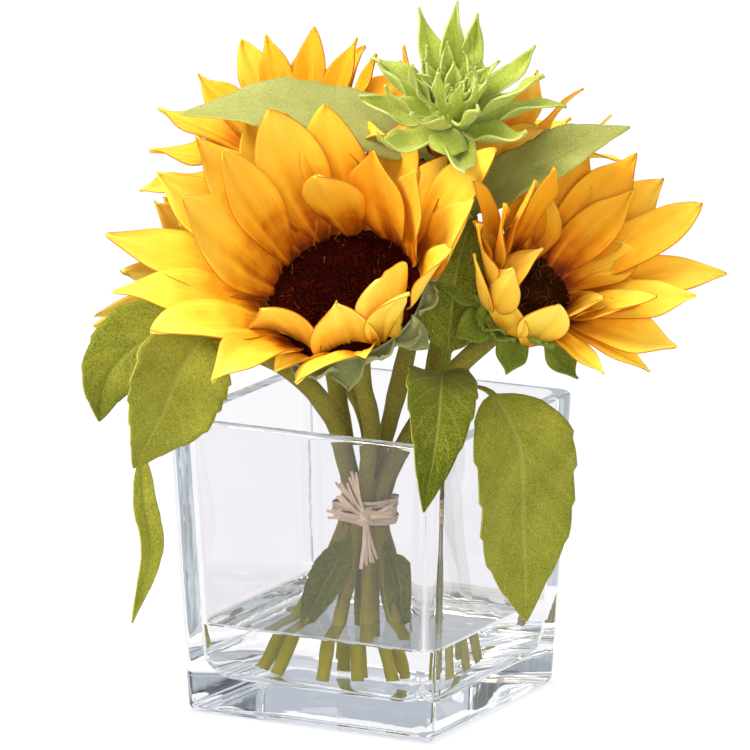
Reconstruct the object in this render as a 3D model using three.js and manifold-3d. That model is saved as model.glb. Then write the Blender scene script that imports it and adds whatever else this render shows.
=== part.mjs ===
// Sunflowers in a square glass vase: five open sunflowers, one closed bud and a leafy sprig,
// tied with raffia and standing in a little water. Millimetres, +Z up. The origin is the middle
// of the vase's underside. The vase's sides face X and Y; the bouquet is turned within it, and
// its own frame has +X to its right and -Y to its front.
import * as THREE from 'three';
import Module from 'manifold-3d';

const wasm = await Module();
wasm.setup();

// ---------------------------------------------------------------- driving dimensions
const BOUQUET_TURN = 27.7; // degrees about Z between the vase and the bouquet
const GAP = 0.3; // clearance between pieces that touch
const HOLE_GAP = 0.45; // and between a stem and the hole that it stands in
const BLADE = 0.8; // thickness of petals and leaves
const VASE = { rim: 60, foot: 54.5, height: 120, wall: 6, floor: 13, outerCorner: 4, innerCorner: 7 };
const FOOT_ROUND = 3;
const RIM_ROUND = 2.2;
const FLOOR_FILLET = 12; // between the hollow's floor and its walls
const WATER_LEVEL = 36;
const TIE = { x: -1.5, z: 78, pitch: 6.9, inner: 12.2 }; // stems stand round x at pitch
const STEM = { foot: 3.1, tie: 3.2, neck: 4.4, sides: 7, steps: 11 };
const FEET = { x: -8, spread: 26, z: 15.2 }; // the cut ends stand round this place on the floor
const RING = { clear: 0.5, width: 4.2, bottom: -2, top: 1.6 }; // carries petals round a disc
const HEAD_SIDES = 18;
const CALYX = { depth: 15, sides: 12 };
const SEPALS = { count: 8, length: 24, width: 14, lift: -16, curl: 20 };
const UP = new THREE.Vector3(0, 0, 1);
const RADIANS = Math.PI / 180;

const vector = ([x, y, z]) => new THREE.Vector3(x, y, z);
const mix = (a, b, t) => a + (b - a) * t;

// A repeatable draw between -1 and 1 for copy i of a rule's k-th property.
function draw(i, k) {
  const s = Math.sin(i * 12.9898 + k * 78.233 + 4.17) * 43758.5453;
  return 2 * (s - Math.floor(s)) - 1;
}

// ---------------------------------------------------------------- closed solids
function solid(points, faces) {
  const vertProperties = new Float32Array(points.flatMap((p) => [p.x, p.y, p.z]));
  const triVerts = new Uint32Array(faces.flat());
  return new wasm.Manifold(new wasm.Mesh({ numProp: 3, vertProperties, triVerts }));
}

// Skins rings of points, counterclockwise as seen from the end that the loft grows towards.
// A ring of one point is a pole. With wrap, the last ring joins the first.
function loft(rings, wrap = false) {
  const starts = [];
  let count = 0;
  for (const ring of rings) {
    starts.push(count);
    count += ring.length;
  }
  const faces = [];
  const bands = wrap ? rings.length : rings.length - 1;
  for (let i = 0; i < bands; i++) {
    const next = (i + 1) % rings.length;
    const sides = Math.max(rings[i].length, rings[next].length);
    for (let j = 0; j < sides; j++) {
      const k = (j + 1) % sides;
      const a = starts[i] + (rings[i].length > 1 ? j : 0);
      const b = starts[i] + (rings[i].length > 1 ? k : 0);
      const c = starts[next] + (rings[next].length > 1 ? j : 0);
      const d = starts[next] + (rings[next].length > 1 ? k : 0);
      if (a !== b) faces.push([a, b, d]);
      if (c !== d) faces.push([a, d, c]);
    }
  }
  return solid(rings.flat(), faces);
}

// A thin blade over rows of points from root to tip, each row running left to right; the last
// row may be one point. Both faces have the same triangles, so a waved blade never crosses itself.
function blade(rows, normals, thickness) {
  const flat = rows.flat();
  const up = normals.flat();
  const n = flat.length;
  const top = flat.map((p, i) => p.clone().addScaledVector(up[i], thickness / 2));
  const bottom = flat.map((p, i) => p.clone().addScaledVector(up[i], -thickness / 2));
  const faces = [];
  const rightEdge = [];
  const leftEdge = [];
  let start = 0;
  const both = (a, b, c) => faces.push([a, b, c], [n + a, n + c, n + b]);
  for (let i = 0; i < rows.length; i++) {
    const width = rows[i].length;
    leftEdge.push(start);
    if (width > 1) rightEdge.push(start + width - 1);
    if (i < rows.length - 1) {
      const next = start + width;
      const tip = rows[i + 1].length === 1;
      for (let j = 0; j < width - 1; j++) {
        if (tip) {
          both(start + j, start + j + 1, next);
        } else {
          both(start + j, start + j + 1, next + j + 1);
          both(start + j, next + j + 1, next + j);
        }
      }
      start = next;
    }
  }
  const root = rows[0].map((_, j) => j);
  const edge = [...root.slice(0, -1), ...rightEdge, ...leftEdge.slice(1).reverse()];
  edge.forEach((p, i) => {
    const q = edge[(i + 1) % edge.length];
    faces.push([n + p, n + q, q], [n + p, q, p]);
  });
  return solid([...top, ...bottom], faces);
}

// Joins solids into the one body that they make, and closes up its slivers.
const SLIVER = 0.08;
function fuse(solids) {
  const bodies = wasm.Manifold.union(solids).decompose();
  return bodies.reduce((best, body) => (body.volume() > best.volume() ? body : best)).simplify(SLIVER);
}

function boxesMeet(a, b) {
  return [0, 1, 2].every((k) => a.min[k] <= b.max[k] && b.min[k] <= a.max[k]);
}

// Solids already in place, which later blades are bent clear of.
const placed = [];
const settle = (owner, body) => placed.push({ owner, solid: body, box: body.boundingBox() });
function isClear(probe, owner) {
  const box = probe.boundingBox();
  return placed.every(
    (piece) =>
      piece.owner === owner || !boxesMeet(box, piece.box) || probe.intersect(piece.solid).isEmpty(),
  );
}

// ---------------------------------------------------------------- sweeps and lathes
// A stem through points, with a radius for each level that it passes.
function sweep(path, radiusAt, { sides, steps }) {
  const curve = new THREE.CatmullRomCurve3(path.map(vector), false, 'centripetal');
  let side = new THREE.Vector3(1, 0, 0);
  const rings = [];
  for (let i = 0; i <= steps; i++) {
    const centre = curve.getPointAt(i / steps);
    const along = curve.getTangentAt(i / steps);
    side = side.clone().addScaledVector(along, -side.dot(along)).normalize();
    const across = along.clone().cross(side);
    const ring = Array.from({ length: sides }, (_, j) => {
      const angle = (2 * Math.PI * j) / sides;
      return centre
        .clone()
        .addScaledVector(side, radiusAt(centre.z) * Math.cos(angle))
        .addScaledVector(across, radiusAt(centre.z) * Math.sin(angle));
    });
    if (i === 0) rings.push([centre.clone()]);
    rings.push(ring);
    if (i === steps) rings.push([centre.clone()]);
  }
  return loft(rings);
}

// A head's own axes: w out of the disc, u to its right and v up, as seen face on.
function headAxes(centre, facing) {
  const w = vector(facing).normalize();
  const u = UP.clone().cross(w).normalize();
  return { centre: vector(centre), u, v: w.clone().cross(u), w };
}
const spoke = ({ u, v }, angle) =>
  u.clone().multiplyScalar(Math.cos(angle)).addScaledVector(v, Math.sin(angle));
const headPoint = (axes, angle, radius, height) =>
  axes.centre.clone().addScaledVector(spoke(axes, angle), radius).addScaledVector(axes.w, height);
const headRing = (axes, sides, radius, height, shift = 0) =>
  Array.from({ length: sides }, (_, j) =>
    headPoint(axes, (2 * Math.PI * (j + shift)) / sides, radius, height),
  );

// A turned shape on a head's axis from [radius, height] pairs; a radius of 0 is a pole.
function turned(axes, profile, sides, wrap = false) {
  const ringAt = ([radius, height]) => headRing(axes, radius === 0 ? 1 : sides, radius, height);
  return loft(profile.map(ringAt), wrap);
}

// ---------------------------------------------------------------- vase and water
const CORNER_STEPS = 4;
// One level of a square with rounded corners.
function squareRing(half, corner, z) {
  const ring = [];
  for (let quarter = 0; quarter < 4; quarter++) {
    const middle = (45 + 90 * quarter) * RADIANS;
    const x = (half - corner) * Math.sign(Math.cos(middle));
    const y = (half - corner) * Math.sign(Math.sin(middle));
    for (let step = 0; step < CORNER_STEPS; step++) {
      const angle = (90 * quarter + (90 * step) / (CORNER_STEPS - 1)) * RADIANS;
      ring.push(new THREE.Vector3(x + corner * Math.cos(angle), y + corner * Math.sin(angle), z));
    }
  }
  return ring;
}
const outerHalf = (z) => mix(VASE.foot, VASE.rim, z / VASE.height);
const innerHalf = (z) => outerHalf(z) - VASE.wall;

// The rounded bottom of the hollow, from the middle of the floor up to the wall, drawn in by inset.
function cavityRings(inset) {
  const rings = [];
  for (const degrees of [0, 22.5, 45, 67.5, 90]) {
    const reach = FLOOR_FILLET * (1 - Math.sin(degrees * RADIANS));
    const z = VASE.floor + inset + FLOOR_FILLET * (1 - Math.cos(degrees * RADIANS));
    rings.push(squareRing(innerHalf(z) - inset - reach, VASE.innerCorner - inset, z));
  }
  return rings;
}

function vaseSolid() {
  const { height, outerCorner, innerCorner, floor } = VASE;
  const rings = [[new THREE.Vector3(0, 0, 0)]];
  for (const degrees of [0, 45, 90]) {
    const z = FOOT_ROUND * (1 - Math.cos(degrees * RADIANS));
    const inset = FOOT_ROUND * (1 - Math.sin(degrees * RADIANS));
    rings.push(squareRing(outerHalf(z) - inset, outerCorner, z));
  }
  for (const degrees of [0, 45, 90]) {
    const z = height - RIM_ROUND * (1 - Math.sin(degrees * RADIANS));
    rings.push(squareRing(outerHalf(z) - RIM_ROUND * (1 - Math.cos(degrees * RADIANS)), outerCorner, z));
  }
  for (const degrees of [90, 45, 0]) {
    const z = height - RIM_ROUND * (1 - Math.sin(degrees * RADIANS));
    rings.push(squareRing(innerHalf(z) + RIM_ROUND * (1 - Math.cos(degrees * RADIANS)), innerCorner, z));
  }
  rings.push(...cavityRings(0).reverse(), [new THREE.Vector3(0, 0, floor)]);
  return loft(rings);
}

function waterSolid() {
  const surface = squareRing(innerHalf(WATER_LEVEL) - GAP, VASE.innerCorner - GAP, WATER_LEVEL);
  const floor = [new THREE.Vector3(0, 0, VASE.floor + GAP)];
  return loft([floor, ...cavityRings(GAP), surface, [new THREE.Vector3(0, 0, WATER_LEVEL)]]);
}

// ---------------------------------------------------------------- petals and bracts
// A petal springs from its root radius along a spoke of the head at its lift above the disc's
// plane, bends by curl on its way, and is cupped across; `extra` grows it. Angles are in degrees.
const FRONT_ROWS = [0, 0.42, 0.78]; // places along a petal of the two heads at the front
const REAR_ROWS = [0, 0.52];
const BRACT_ROWS = [0, 0.45];
const petalOutline = (t) => Math.sin(Math.PI * (0.05 + 0.95 * t)) ** 0.8;

function petalRows(axes, petal, rowsAt, extra = 0) {
  const { azimuth, lift, curl, length, width, root, height, twist = 0, cup = 0.25 } = petal;
  const along = spoke(axes, azimuth * RADIANS);
  const across = along.clone().cross(axes.w);
  const start = headPoint(axes, azimuth * RADIANS, root, height);
  const from = lift * RADIANS;
  const bend = (Math.abs(curl) < 1 ? 1 : curl) * RADIANS;
  const rows = [];
  const normals = [];
  for (const t of [...rowsAt, 1]) {
    const angle = from + bend * t;
    const out = (length * (Math.sin(angle) - Math.sin(from))) / bend;
    const rise = (length * (Math.cos(from) - Math.cos(angle))) / bend;
    const middle = start.clone().addScaledVector(along, out).addScaledVector(axes.w, rise);
    const flat = axes.w.clone().multiplyScalar(Math.cos(angle)).addScaledVector(along, -Math.sin(angle));
    const turn = twist * t * RADIANS;
    const side = across.clone().multiplyScalar(Math.cos(turn)).addScaledVector(flat, Math.sin(turn));
    const normal = flat.multiplyScalar(Math.cos(turn)).addScaledVector(across, -Math.sin(turn));
    const half = (width / 2) * petalOutline(t) + extra;
    const places = t === 1 ? [0] : [-1, 0, 1];
    if (t === 1) {
      const onward = along.clone().multiplyScalar(Math.cos(angle)).addScaledVector(axes.w, Math.sin(angle));
      middle.addScaledVector(onward, 2 * extra);
    }
    rows.push(
      places.map((x) =>
        middle
          .clone()
          .addScaledVector(side, half * x)
          .addScaledVector(normal, cup * half * (x * x - 0.4)),
      ),
    );
    normals.push(places.map(() => normal.clone()));
  }
  return [rows, normals];
}

// A blade that would cross a settled piece is bent up or down, then shortened, until it is clear
// of them all; where nothing is clear there is no room for it.
const BENDS = [0, 7, -7, 14, -14, 21, -21, 28, -28];
const CUTS = [1, 0.85, 0.7];

function clearPetal(axes, petal, rowsAt, owner) {
  for (const cut of CUTS) {
    for (const bend of BENDS) {
      const tried = { ...petal, lift: petal.lift + bend, length: petal.length * cut };
      const probe = blade(...petalRows(axes, tried, rowsAt, GAP), BLADE + 2 * GAP);
      if (isClear(probe, owner)) return blade(...petalRows(axes, tried, rowsAt), BLADE);
    }
  }
  return null;
}

// ---------------------------------------------------------------- leaves
// A leaf follows its rib, a curve through hand-placed points, with its face turned to `up` at
// the base and `upTip` at the tip; it starts as a narrow stalk and ends in a point.
const LEAF_ROWS = 9;
function leafOutline(t, stalk) {
  if (t <= stalk) return 0;
  return Math.sin(Math.PI * ((t - stalk) / (1 - stalk)) ** 0.72) ** 0.85;
}

function leafRows(leaf, extra = 0) {
  const { rib, up, upTip = up, width, stalk = 0.12, fold = 12, tooth = 0.07, stem = 1.7 } = leaf;
  const curve = new THREE.CatmullRomCurve3(rib.map(vector), false, 'centripetal');
  const rows = [];
  const normals = [];
  const stations = [0, stalk];
  for (let i = 1; i < LEAF_ROWS; i++) stations.push(mix(stalk, 1, i / LEAF_ROWS));
  stations.push(1);
  stations.forEach((t, i) => {
    const middle = curve.getPointAt(t);
    const along = curve.getTangentAt(t);
    const face = vector(up).lerp(vector(upTip), t);
    const normal = face.addScaledVector(along, -face.dot(along)).normalize();
    const side = along.clone().cross(normal);
    const teeth = i > 1 && i % 2 ? 1 + tooth : 1 - tooth;
    const half = Math.max(stem, (width / 2) * leafOutline(t, stalk) * teeth) + extra;
    const places = t === 1 ? [0] : width < 15 ? [-1, 0, 1] : [-1, -0.5, 0, 0.5, 1];
    if (t === 1) middle.addScaledVector(along, 2 * extra);
    const rise = Math.tan(fold * RADIANS);
    rows.push(
      places.map((x) =>
        middle
          .clone()
          .addScaledVector(side, half * x)
          .addScaledVector(normal, half * rise * (Math.abs(x) - 0.3)),
      ),
    );
    normals.push(places.map(() => normal.clone()));
  });
  return [rows, normals];
}
const leafSolid = (leaf, extra = 0) => blade(...leafRows(leaf, extra), BLADE + 2 * extra);

// ---------------------------------------------------------------- flower heads
// Petals are [azimuth, lift, curl, length, width]; the outer layer springs from lower and
// further out than the inner one.
const HEADS = [
  {
    name: 'sunflower_1',
    rows: FRONT_ROWS,
    centre: [-10.6, -28, 170.5],
    facing: [-0.25, -0.6, 0.76],
    disc: 27,
    outer: [
      [186, 44, -20, 71, 27], [167, 50, -20, 64, 26], [149, 56, -20, 63, 26], [135, 54, -20, 58, 26],
      [121, 58, -20, 57, 28], [104, 52, -15, 49, 27], [84, 56, -15, 50, 26], [64, 48, -15, 48, 26],
      [42, 42, -15, 57, 27], [20, 54, -15, 50, 24], [356, 64, -15, 48, 22], [326, 68, -20, 42, 22],
      [300, 74, -10, 38, 24], [274, 66, -50, 36, 24], [248, 56, -35, 56, 24], [224, 54, -30, 60, 25],
      [205, 46, -20, 67, 25],
    ],
    inner: [
      [179, 70, -24, 57, 38], [156, 78, -18, 60, 20], [141, 68, -15, 42, 27], [118, 74, -15, 44, 24],
      [97, 84, 22, 46, 27], [66, 70, -12, 46, 26], [38, 76, -10, 48, 25], [322, 90, 20, 38, 22],
      [290, 86, 0, 34, 24], [256, 78, 0, 36, 24],
    ],
  },
  {
    name: 'sunflower_2',
    rows: FRONT_ROWS,
    centre: [62, -24, 170],
    facing: [0.42, -0.6, 0.68],
    disc: 15,
    outer: [
      [52, 38, -12, 50, 22], [36, 42, -15, 58, 22], [22, 32, -15, 64, 22], [6, 40, -15, 63, 23],
      [348, 30, -15, 66, 22], [332, 38, -15, 50, 22], [312, 34, -20, 46, 22], [290, 42, -15, 42, 22],
      [266, 36, -20, 40, 22], [242, 50, -20, 38, 20], [216, 44, -15, 38, 20], [190, 56, -10, 42, 20],
      [162, 48, -10, 44, 20], [134, 54, -10, 44, 20], [106, 42, -10, 46, 22], [78, 48, -10, 48, 22],
    ],
    inner: [
      [28, 60, -10, 46, 20], [4, 64, -15, 50, 20], [340, 60, -15, 44, 19], [312, 66, -15, 34, 18],
      [282, 62, -10, 31, 18], [250, 70, -10, 31, 18], [216, 66, 0, 32, 18], [184, 74, 40, 38, 18],
      [146, 68, -5, 38, 18], [106, 70, -5, 38, 18], [66, 64, -10, 38, 18],
    ],
  },
  {
    name: 'sunflower_3',
    rows: REAR_ROWS,
    centre: [-33, 30, 213],
    facing: [-0.22, -0.2, 0.95],
    disc: 17,
    outer: [
      [186, 30, -20, 48, 23], [166, 32, -20, 50, 23], [208, 22, -20, 40, 23], [146, 38, -20, 53, 22],
      [127, 30, -20, 58, 22], [106, 34, -20, 52, 22], [84, 24, -20, 48, 22], [60, 32, -20, 46, 22],
      [36, 20, -20, 44, 22], [12, 32, -20, 44, 22], [348, 22, -20, 42, 22], [324, 32, -20, 42, 22],
      [300, 22, -20, 42, 22], [274, 32, -20, 42, 22], [246, 20, -20, 44, 22],
    ],
    inner: [[136, 46, -20, 50, 18], [115, 54, -20, 46, 18], [94, 50, -20, 44, 18], [62, 56, -20, 40, 18]],
  },
  {
    name: 'sunflower_4',
    rows: REAR_ROWS,
    centre: [40, 50, 205],
    facing: [0.18, 0.12, 0.97],
    disc: 17,
    outer: [
      [0, 20, -20, 54, 22], [24, 32, -20, 54, 22], [48, 20, -20, 56, 22], [72, 30, -20, 54, 22],
      [96, 20, -20, 54, 22], [120, 30, -20, 50, 22], [144, 24, -20, 50, 22], [168, 38, -20, 50, 22],
      [192, 46, -20, 46, 22], [216, 36, -20, 46, 22], [240, 48, -20, 44, 22], [264, 36, -20, 44, 22],
      [288, 44, -20, 46, 22], [312, 30, -20, 50, 22], [336, 38, -20, 52, 22],
    ],
    inner: [
      [10, 56, -15, 46, 20], [52, 70, -10, 46, 20], [100, 62, -15, 42, 18], [174, 62, -10, 50, 22],
      [212, 70, -10, 46, 20],
    ],
  },
  {
    name: 'sunflower_5',
    rows: REAR_ROWS,
    centre: [-46, 50, 166],
    facing: [-0.55, 0.52, 0.65],
    disc: 17,
    outer: [
      [0, 18, -20, 54, 22], [24, 30, -20, 52, 22], [48, 18, -20, 52, 22], [72, 32, -20, 46, 22],
      [96, 22, -20, 44, 22], [120, 34, -20, 44, 22], [144, 20, -20, 52, 22], [168, 30, -20, 56, 22],
      [192, 16, -20, 60, 22], [216, 28, -20, 56, 22], [240, 16, -20, 56, 22], [264, 28, -20, 52, 22],
      [288, 16, -20, 54, 22], [312, 28, -20, 52, 22], [336, 18, -20, 54, 22],
    ],
    inner: [[20, 52, -20, 40, 18], [110, 56, -20, 38, 18], [200, 52, -20, 40, 18], [290, 52, -20, 40, 18]],
  },
];

// The velvet disc: a low dome whose florets stand up in turn as small points.
const DISC = { rings: 6, rim: 1.2, crown: 5.5, floret: 1.1 };
function discSolid(axes, radius) {
  const dome = (r) => mix(DISC.rim, DISC.crown, 1 - (r / radius) ** 2);
  const rings = [[headPoint(axes, 0, 0, RING.bottom)], headRing(axes, HEAD_SIDES, radius, RING.bottom)];
  for (let i = 0; i < DISC.rings; i++) {
    const r = radius * (1 - i / DISC.rings);
    const ring = headRing(axes, HEAD_SIDES, r, dome(r), i % 2 ? 0.5 : 0);
    const raised = (p, j) => (i > 0 && (i + j) % 2 ? p.addScaledVector(axes.w, DISC.floret) : p);
    rings.push(ring.map(raised));
  }
  rings.push([headPoint(axes, 0, 0, dome(0) - DISC.floret)]);
  return loft(rings);
}

// The green cup between a stem and the underside of its head.
function calyxSolid(axes, wide, top) {
  const profile = [
    [0, -CALYX.depth - 4],
    [4.2, -CALYX.depth - 4],
    [5.6, -CALYX.depth + 1],
    [wide * 0.62 + 1, -CALYX.depth + 5],
    [wide * 0.93, top - 3.5],
    [wide, top],
    [0, top],
  ];
  return turned(axes, profile, CALYX.sides);
}

function sepalSolids(axes, disc, owner) {
  const sepals = Array.from({ length: SEPALS.count }, (_, i) => {
    const sepal = {
      azimuth: (360 * (i + 0.4)) / SEPALS.count + 8 * draw(i, disc),
      lift: SEPALS.lift + 6 * draw(i, disc + 1),
      curl: SEPALS.curl + 14 * draw(i, disc + 2),
      length: SEPALS.length + 3 * draw(i, disc + 3),
      width: SEPALS.width,
      root: disc * 0.88,
      height: RING.bottom - 5,
    };
    return clearPetal(axes, sepal, BRACT_ROWS, owner);
  });
  return sepals.filter(Boolean);
}

function petalsSolid(head, axes) {
  const inside = head.disc + RING.clear;
  const outside = head.disc + RING.width;
  const { bottom, top } = RING;
  const profile = [[inside, bottom], [outside, bottom], [outside, top - 1], [inside, top]];
  const layers = [
    { rows: head.outer, root: head.disc + 2.2, height: -0.9 },
    { rows: head.inner, root: head.disc + 1.4, height: 0.2 },
  ];
  const petals = layers.flatMap(({ rows, root, height }) =>
    rows.map(([azimuth, lift, curl, length, width], i) => {
      const petal = { azimuth, lift, curl, length, width, root, height, twist: 9 * draw(i, head.disc) };
      return clearPetal(axes, petal, head.rows, head.name);
    }),
  );
  return fuse([turned(axes, profile, HEAD_SIDES, true), ...petals.filter(Boolean)]);
}

// ---------------------------------------------------------------- bud
// A knob closed in by three layers of bracts.
const BUD = { centre: [31.7, -6, 238], facing: [0, -0.5, 0.86], bottom: -7, calyx: 6.4 };
const BRACTS = [
  { count: 8, lift: 8, curl: 26, length: 37, width: 15, root: 7.6, height: -4, turn: 0 },
  { count: 8, lift: 36, curl: 14, length: 35, width: 12, root: 7.2, height: 0, turn: 22 },
  { count: 6, lift: 62, curl: 6, length: 28, width: 9, root: 5.4, height: 3, turn: 5 },
];
function budSolid(axes) {
  const knob = [[0, BUD.bottom], [4, BUD.bottom], [8, -4], [9, 0], [7.5, 4.5], [4, 7.5], [0, 8.5]];
  const bracts = BRACTS.flatMap((layer, k) =>
    Array.from({ length: layer.count }, (_, i) => {
      const bract = {
        ...layer,
        azimuth: layer.turn + (360 * i) / layer.count + 7 * draw(i, k + 20),
        lift: layer.lift + 8 * draw(i, k + 23),
        length: layer.length * (1 + 0.16 * draw(i, k + 26)),
      };
      return clearPetal(axes, bract, BRACT_ROWS, 'bud_head');
    }),
  );
  return fuse([turned(axes, knob, 10), ...bracts.filter(Boolean)]);
}

// ---------------------------------------------------------------- stems with their leaves
// Each stem stands on the floor at its place round the bundle (degrees), passes through the tie
// and then through its `via` points to its head. `ring` is 0 for the stem in the middle.
const STEMS = [
  {
    name: 'sunflower_1_stem',
    place: -105,
    via: [[0, -15, 112], [-4, -18, 135]],
    leaves: [],
  },
  {
    name: 'sunflower_2_stem',
    place: -45,
    via: [[17, -12, 114], [33, -16, 137]],
    leaves: [
      {
        rib: [[22, -14, 122], [27, -32, 139], [27, -62, 139], [25, -85, 124], [20, -89, 97]],
        up: [0, -0.3, 1],
        upTip: [0.2, -1, 0.1],
        width: 28,
        stalk: 0.2,
        fold: 14,
      },
      {
        rib: [[26, -15, 127], [36, -19, 131], [48, -36, 131], [58, -46, 114], [60, -42, 78], [61, -31, 39]],
        up: [0.2, -0.3, 1],
        upTip: [0.6, -0.8, 0.1],
        width: 54,
        stalk: 0.24,
        fold: 6,
      },
      {
        rib: [[28, -15, 131], [30, -26, 150], [32, -27, 172], [36, -24, 190], [41, -22, 200]],
        up: [0, -1, 0.2],
        upTip: [-0.2, -1, 0.3],
        width: 22,
        stalk: 0.25,
        fold: 12,
      },
      {
        rib: [[5, -8, 66], [9, -10, 61], [12, -12, 52], [13, -15, 41], [12, -17, 28]],
        up: [0.3, -1, 0],
        width: 12,
        stalk: 0.15,
        fold: 12,
      },
    ],
  },
  {
    name: 'sunflower_4_stem',
    place: 15,
    via: [[20, 10, 114], [29, 20, 150], [34, 32, 180]],
    leaves: [],
  },
  {
    name: 'sunflower_5_stem',
    place: 75,
    via: [[-3, 18, 112], [-20, 30, 136]],
    leaves: [],
  },
  {
    name: 'sunflower_3_stem',
    place: 135,
    via: [[-12, 8, 112], [-18, 15, 150], [-21, 22, 178]],
    leaves: [],
  },
  {
    name: 'leaf_sprig',
    place: 195,
    via: [[-14, -9, 112], [-27, -17, 133], [-48, -23, 147], [-62, -27, 152]],
    leaves: [
      {
        rib: [[-56, -25, 150], [-74, -26, 156], [-94, -25, 150], [-108, -25, 136], [-111, -24, 118]],
        up: [0, -0.3, 1],
        upTip: [0.3, -0.8, 0.3],
        width: 34,
        stalk: 0.15,
        fold: 14,
      },
      {
        rib: [[-56, -27, 151], [-68, -34, 153], [-78, -42, 142], [-86, -45, 125], [-98, -44, 104]],
        up: [0.3, -0.7, 0.6],
        upTip: [0.6, -0.7, 0.1],
        width: 42,
        stalk: 0.12,
        fold: 12,
      },
      {
        rib: [[-58, -28, 149], [-76, -32, 140], [-88, -38, 118], [-89, -42, 92], [-86, -43, 72], [-94, -42, 41]],
        up: [0, -1, 0.2],
        upTip: [0.4, -1, 0],
        width: 10,
        stalk: 0.45,
        fold: 10,
      },
    ],
  },
  {
    name: 'bud_stem',
    place: 0,
    ring: 0,
    spread: 0.15,
    via: [[7, 0, 112], [15, 5, 145], [20, 9, 172], [26, 7, 198]],
    leaves: [
      {
        rib: [[29, 3, 214], [16, -8, 226], [-8, -18, 237], [-38, -22, 241], [-75, -18, 239]],
        up: [0, -0.6, 0.9],
        upTip: [0, -0.4, 1],
        width: 36,
        stalk: 0.1,
        fold: 8,
      },
      {
        rib: [[26, 6, 200], [38, -4, 203], [60, -10, 215], [82, -12, 227], [101, -10, 233]],
        up: [-0.2, -0.5, 1],
        width: 34,
        stalk: 0.14,
        fold: 8,
      },
    ],
  },
];

// A stem grown outwards by `extra`. One with a head runs on into the cup under it.
function stemSolid(stem, axes, extra = 0) {
  const { place, via, ring = 1, spread = 1 } = stem;
  const neck = (height) => headPoint(axes, 0, 0, height).toArray();
  const x = Math.cos(place * RADIANS);
  const y = Math.sin(place * RADIANS);
  const path = [
    [FEET.x + FEET.spread * spread * x, FEET.spread * spread * y, FEET.z - extra],
    [TIE.x + TIE.pitch * ring * x, TIE.pitch * ring * y, TIE.z],
    ...via,
    ...(axes ? [neck(-CALYX.depth - 9), neck(-CALYX.depth + 4)] : []),
  ];
  const radiusAt = (z) =>
    extra +
    (z < TIE.z
      ? mix(STEM.foot, STEM.tie, z / TIE.z)
      : mix(STEM.tie, STEM.neck, Math.min(1, (z - TIE.z) / 60)));
  return sweep(path, radiusAt, STEM);
}

// ---------------------------------------------------------------- raffia tie
// A strand round the stems, [width, inner radius, height, tilt towards +Y, tilt towards +X].
const HOOPS = [
  [3.6, TIE.inner, 0, 1.4, 0.5],
  [2.8, TIE.inner + 0.2, 2.4, -1.6, 1],
  [2.8, TIE.inner + 0.1, -2.2, 0.4, -1.6],
];
// A loose end from the knot, [tip x, tip y, tip z, width].
const ENDS = [
  [-16, -13, 79.5, 3.2], [-13, -14, 86, 3.4], [-11, -13, 92, 3], [-7, -14, 95, 2.6],
  [-1, -15, 58, 4], [2.5, -14.5, 60, 2.6], [9, -13, 80, 4],
];
const RAFFIA = 0.9;

function hoopSolid([width, radius, height, tiltY, tiltX]) {
  const rings = Array.from({ length: 12 }, (_, i) => {
    const angle = (2 * Math.PI * i) / 12;
    const middle = TIE.z + height + tiltY * Math.sin(angle) + tiltX * Math.cos(angle);
    const corner = (r, z) =>
      new THREE.Vector3(TIE.x + r * Math.cos(angle), r * Math.sin(angle), middle + z);
    return [
      corner(radius, -width / 2),
      corner(radius, width / 2),
      corner(radius + RAFFIA, width / 2),
      corner(radius + RAFFIA, -width / 2),
    ];
  });
  return loft(rings, true);
}

function tieSolid() {
  const front = vector([0, -1, 0]);
  const knot = { centre: vector([TIE.x, -13, TIE.z - 0.5]), u: vector([1, 0, 0]), v: UP, w: front };
  const knotProfile = [[0, -2], [3.6, -1.5], [4.4, 0.4], [2.6, 2.2], [0, 2.6]];
  const ends = ENDS.map(([x, y, z, width]) => {
    const along = vector([x, y, z]).sub(knot.centre);
    const side = along.clone().cross(front).normalize();
    const normal = side.clone().cross(along).normalize();
    const rows = [0, 0.5, 1].map((t) => {
      const middle = knot.centre.clone().addScaledVector(along, t);
      middle.addScaledVector(front, 1.5 * Math.sin(Math.PI * t));
      return [-width / 2, width / 2].map((x) => middle.clone().addScaledVector(side, x));
    });
    return blade(rows, rows.map(() => [normal, normal]), RAFFIA);
  });
  return fuse([...HOOPS.map(hoopSolid), turned(knot, knotProfile, 8), ...ends]);
}

// ---------------------------------------------------------------- assembly
const object = new THREE.Group();
const bouquet = new THREE.Group();
bouquet.rotation.z = BOUQUET_TURN * RADIANS;
object.add(bouquet);

const FINISHES = {
  glass: { color: 0xe9f1ef, roughness: 0.05, metalness: 0, transparent: true, opacity: 0.35 },
  water: { color: 0xeef3ee, roughness: 0.02, metalness: 0, transparent: true, opacity: 0.4 },
  petal: { color: 0xf5b81c, roughness: 0.75, metalness: 0 },
  darkDisc: { color: 0x3a1c0c, roughness: 0.95, metalness: 0 },
  disc: { color: 0x6b451d, roughness: 0.95, metalness: 0 },
  leaf: { color: 0x8a9335, roughness: 0.9, metalness: 0 },
  bud: { color: 0x9db95a, roughness: 0.9, metalness: 0 },
  raffia: { color: 0xe3c8a8, roughness: 0.85, metalness: 0 },
};

function addPiece(parent, name, body, finish) {
  const mesh = body.getMesh();
  const geometry = new THREE.BufferGeometry();
  geometry.setAttribute('position', new THREE.BufferAttribute(mesh.vertProperties, 3));
  geometry.setIndex(new THREE.BufferAttribute(mesh.triVerts, 1));
  geometry.computeVertexNormals();
  const piece = new THREE.Mesh(geometry, new THREE.MeshStandardMaterial(FINISHES[finish]));
  piece.name = name;
  parent.add(piece);
}

const vase = vaseSolid();
const intoBouquet = (body) => body.rotate([0, 0, -BOUQUET_TURN]);
settle('vase', intoBouquet(vase));

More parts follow.
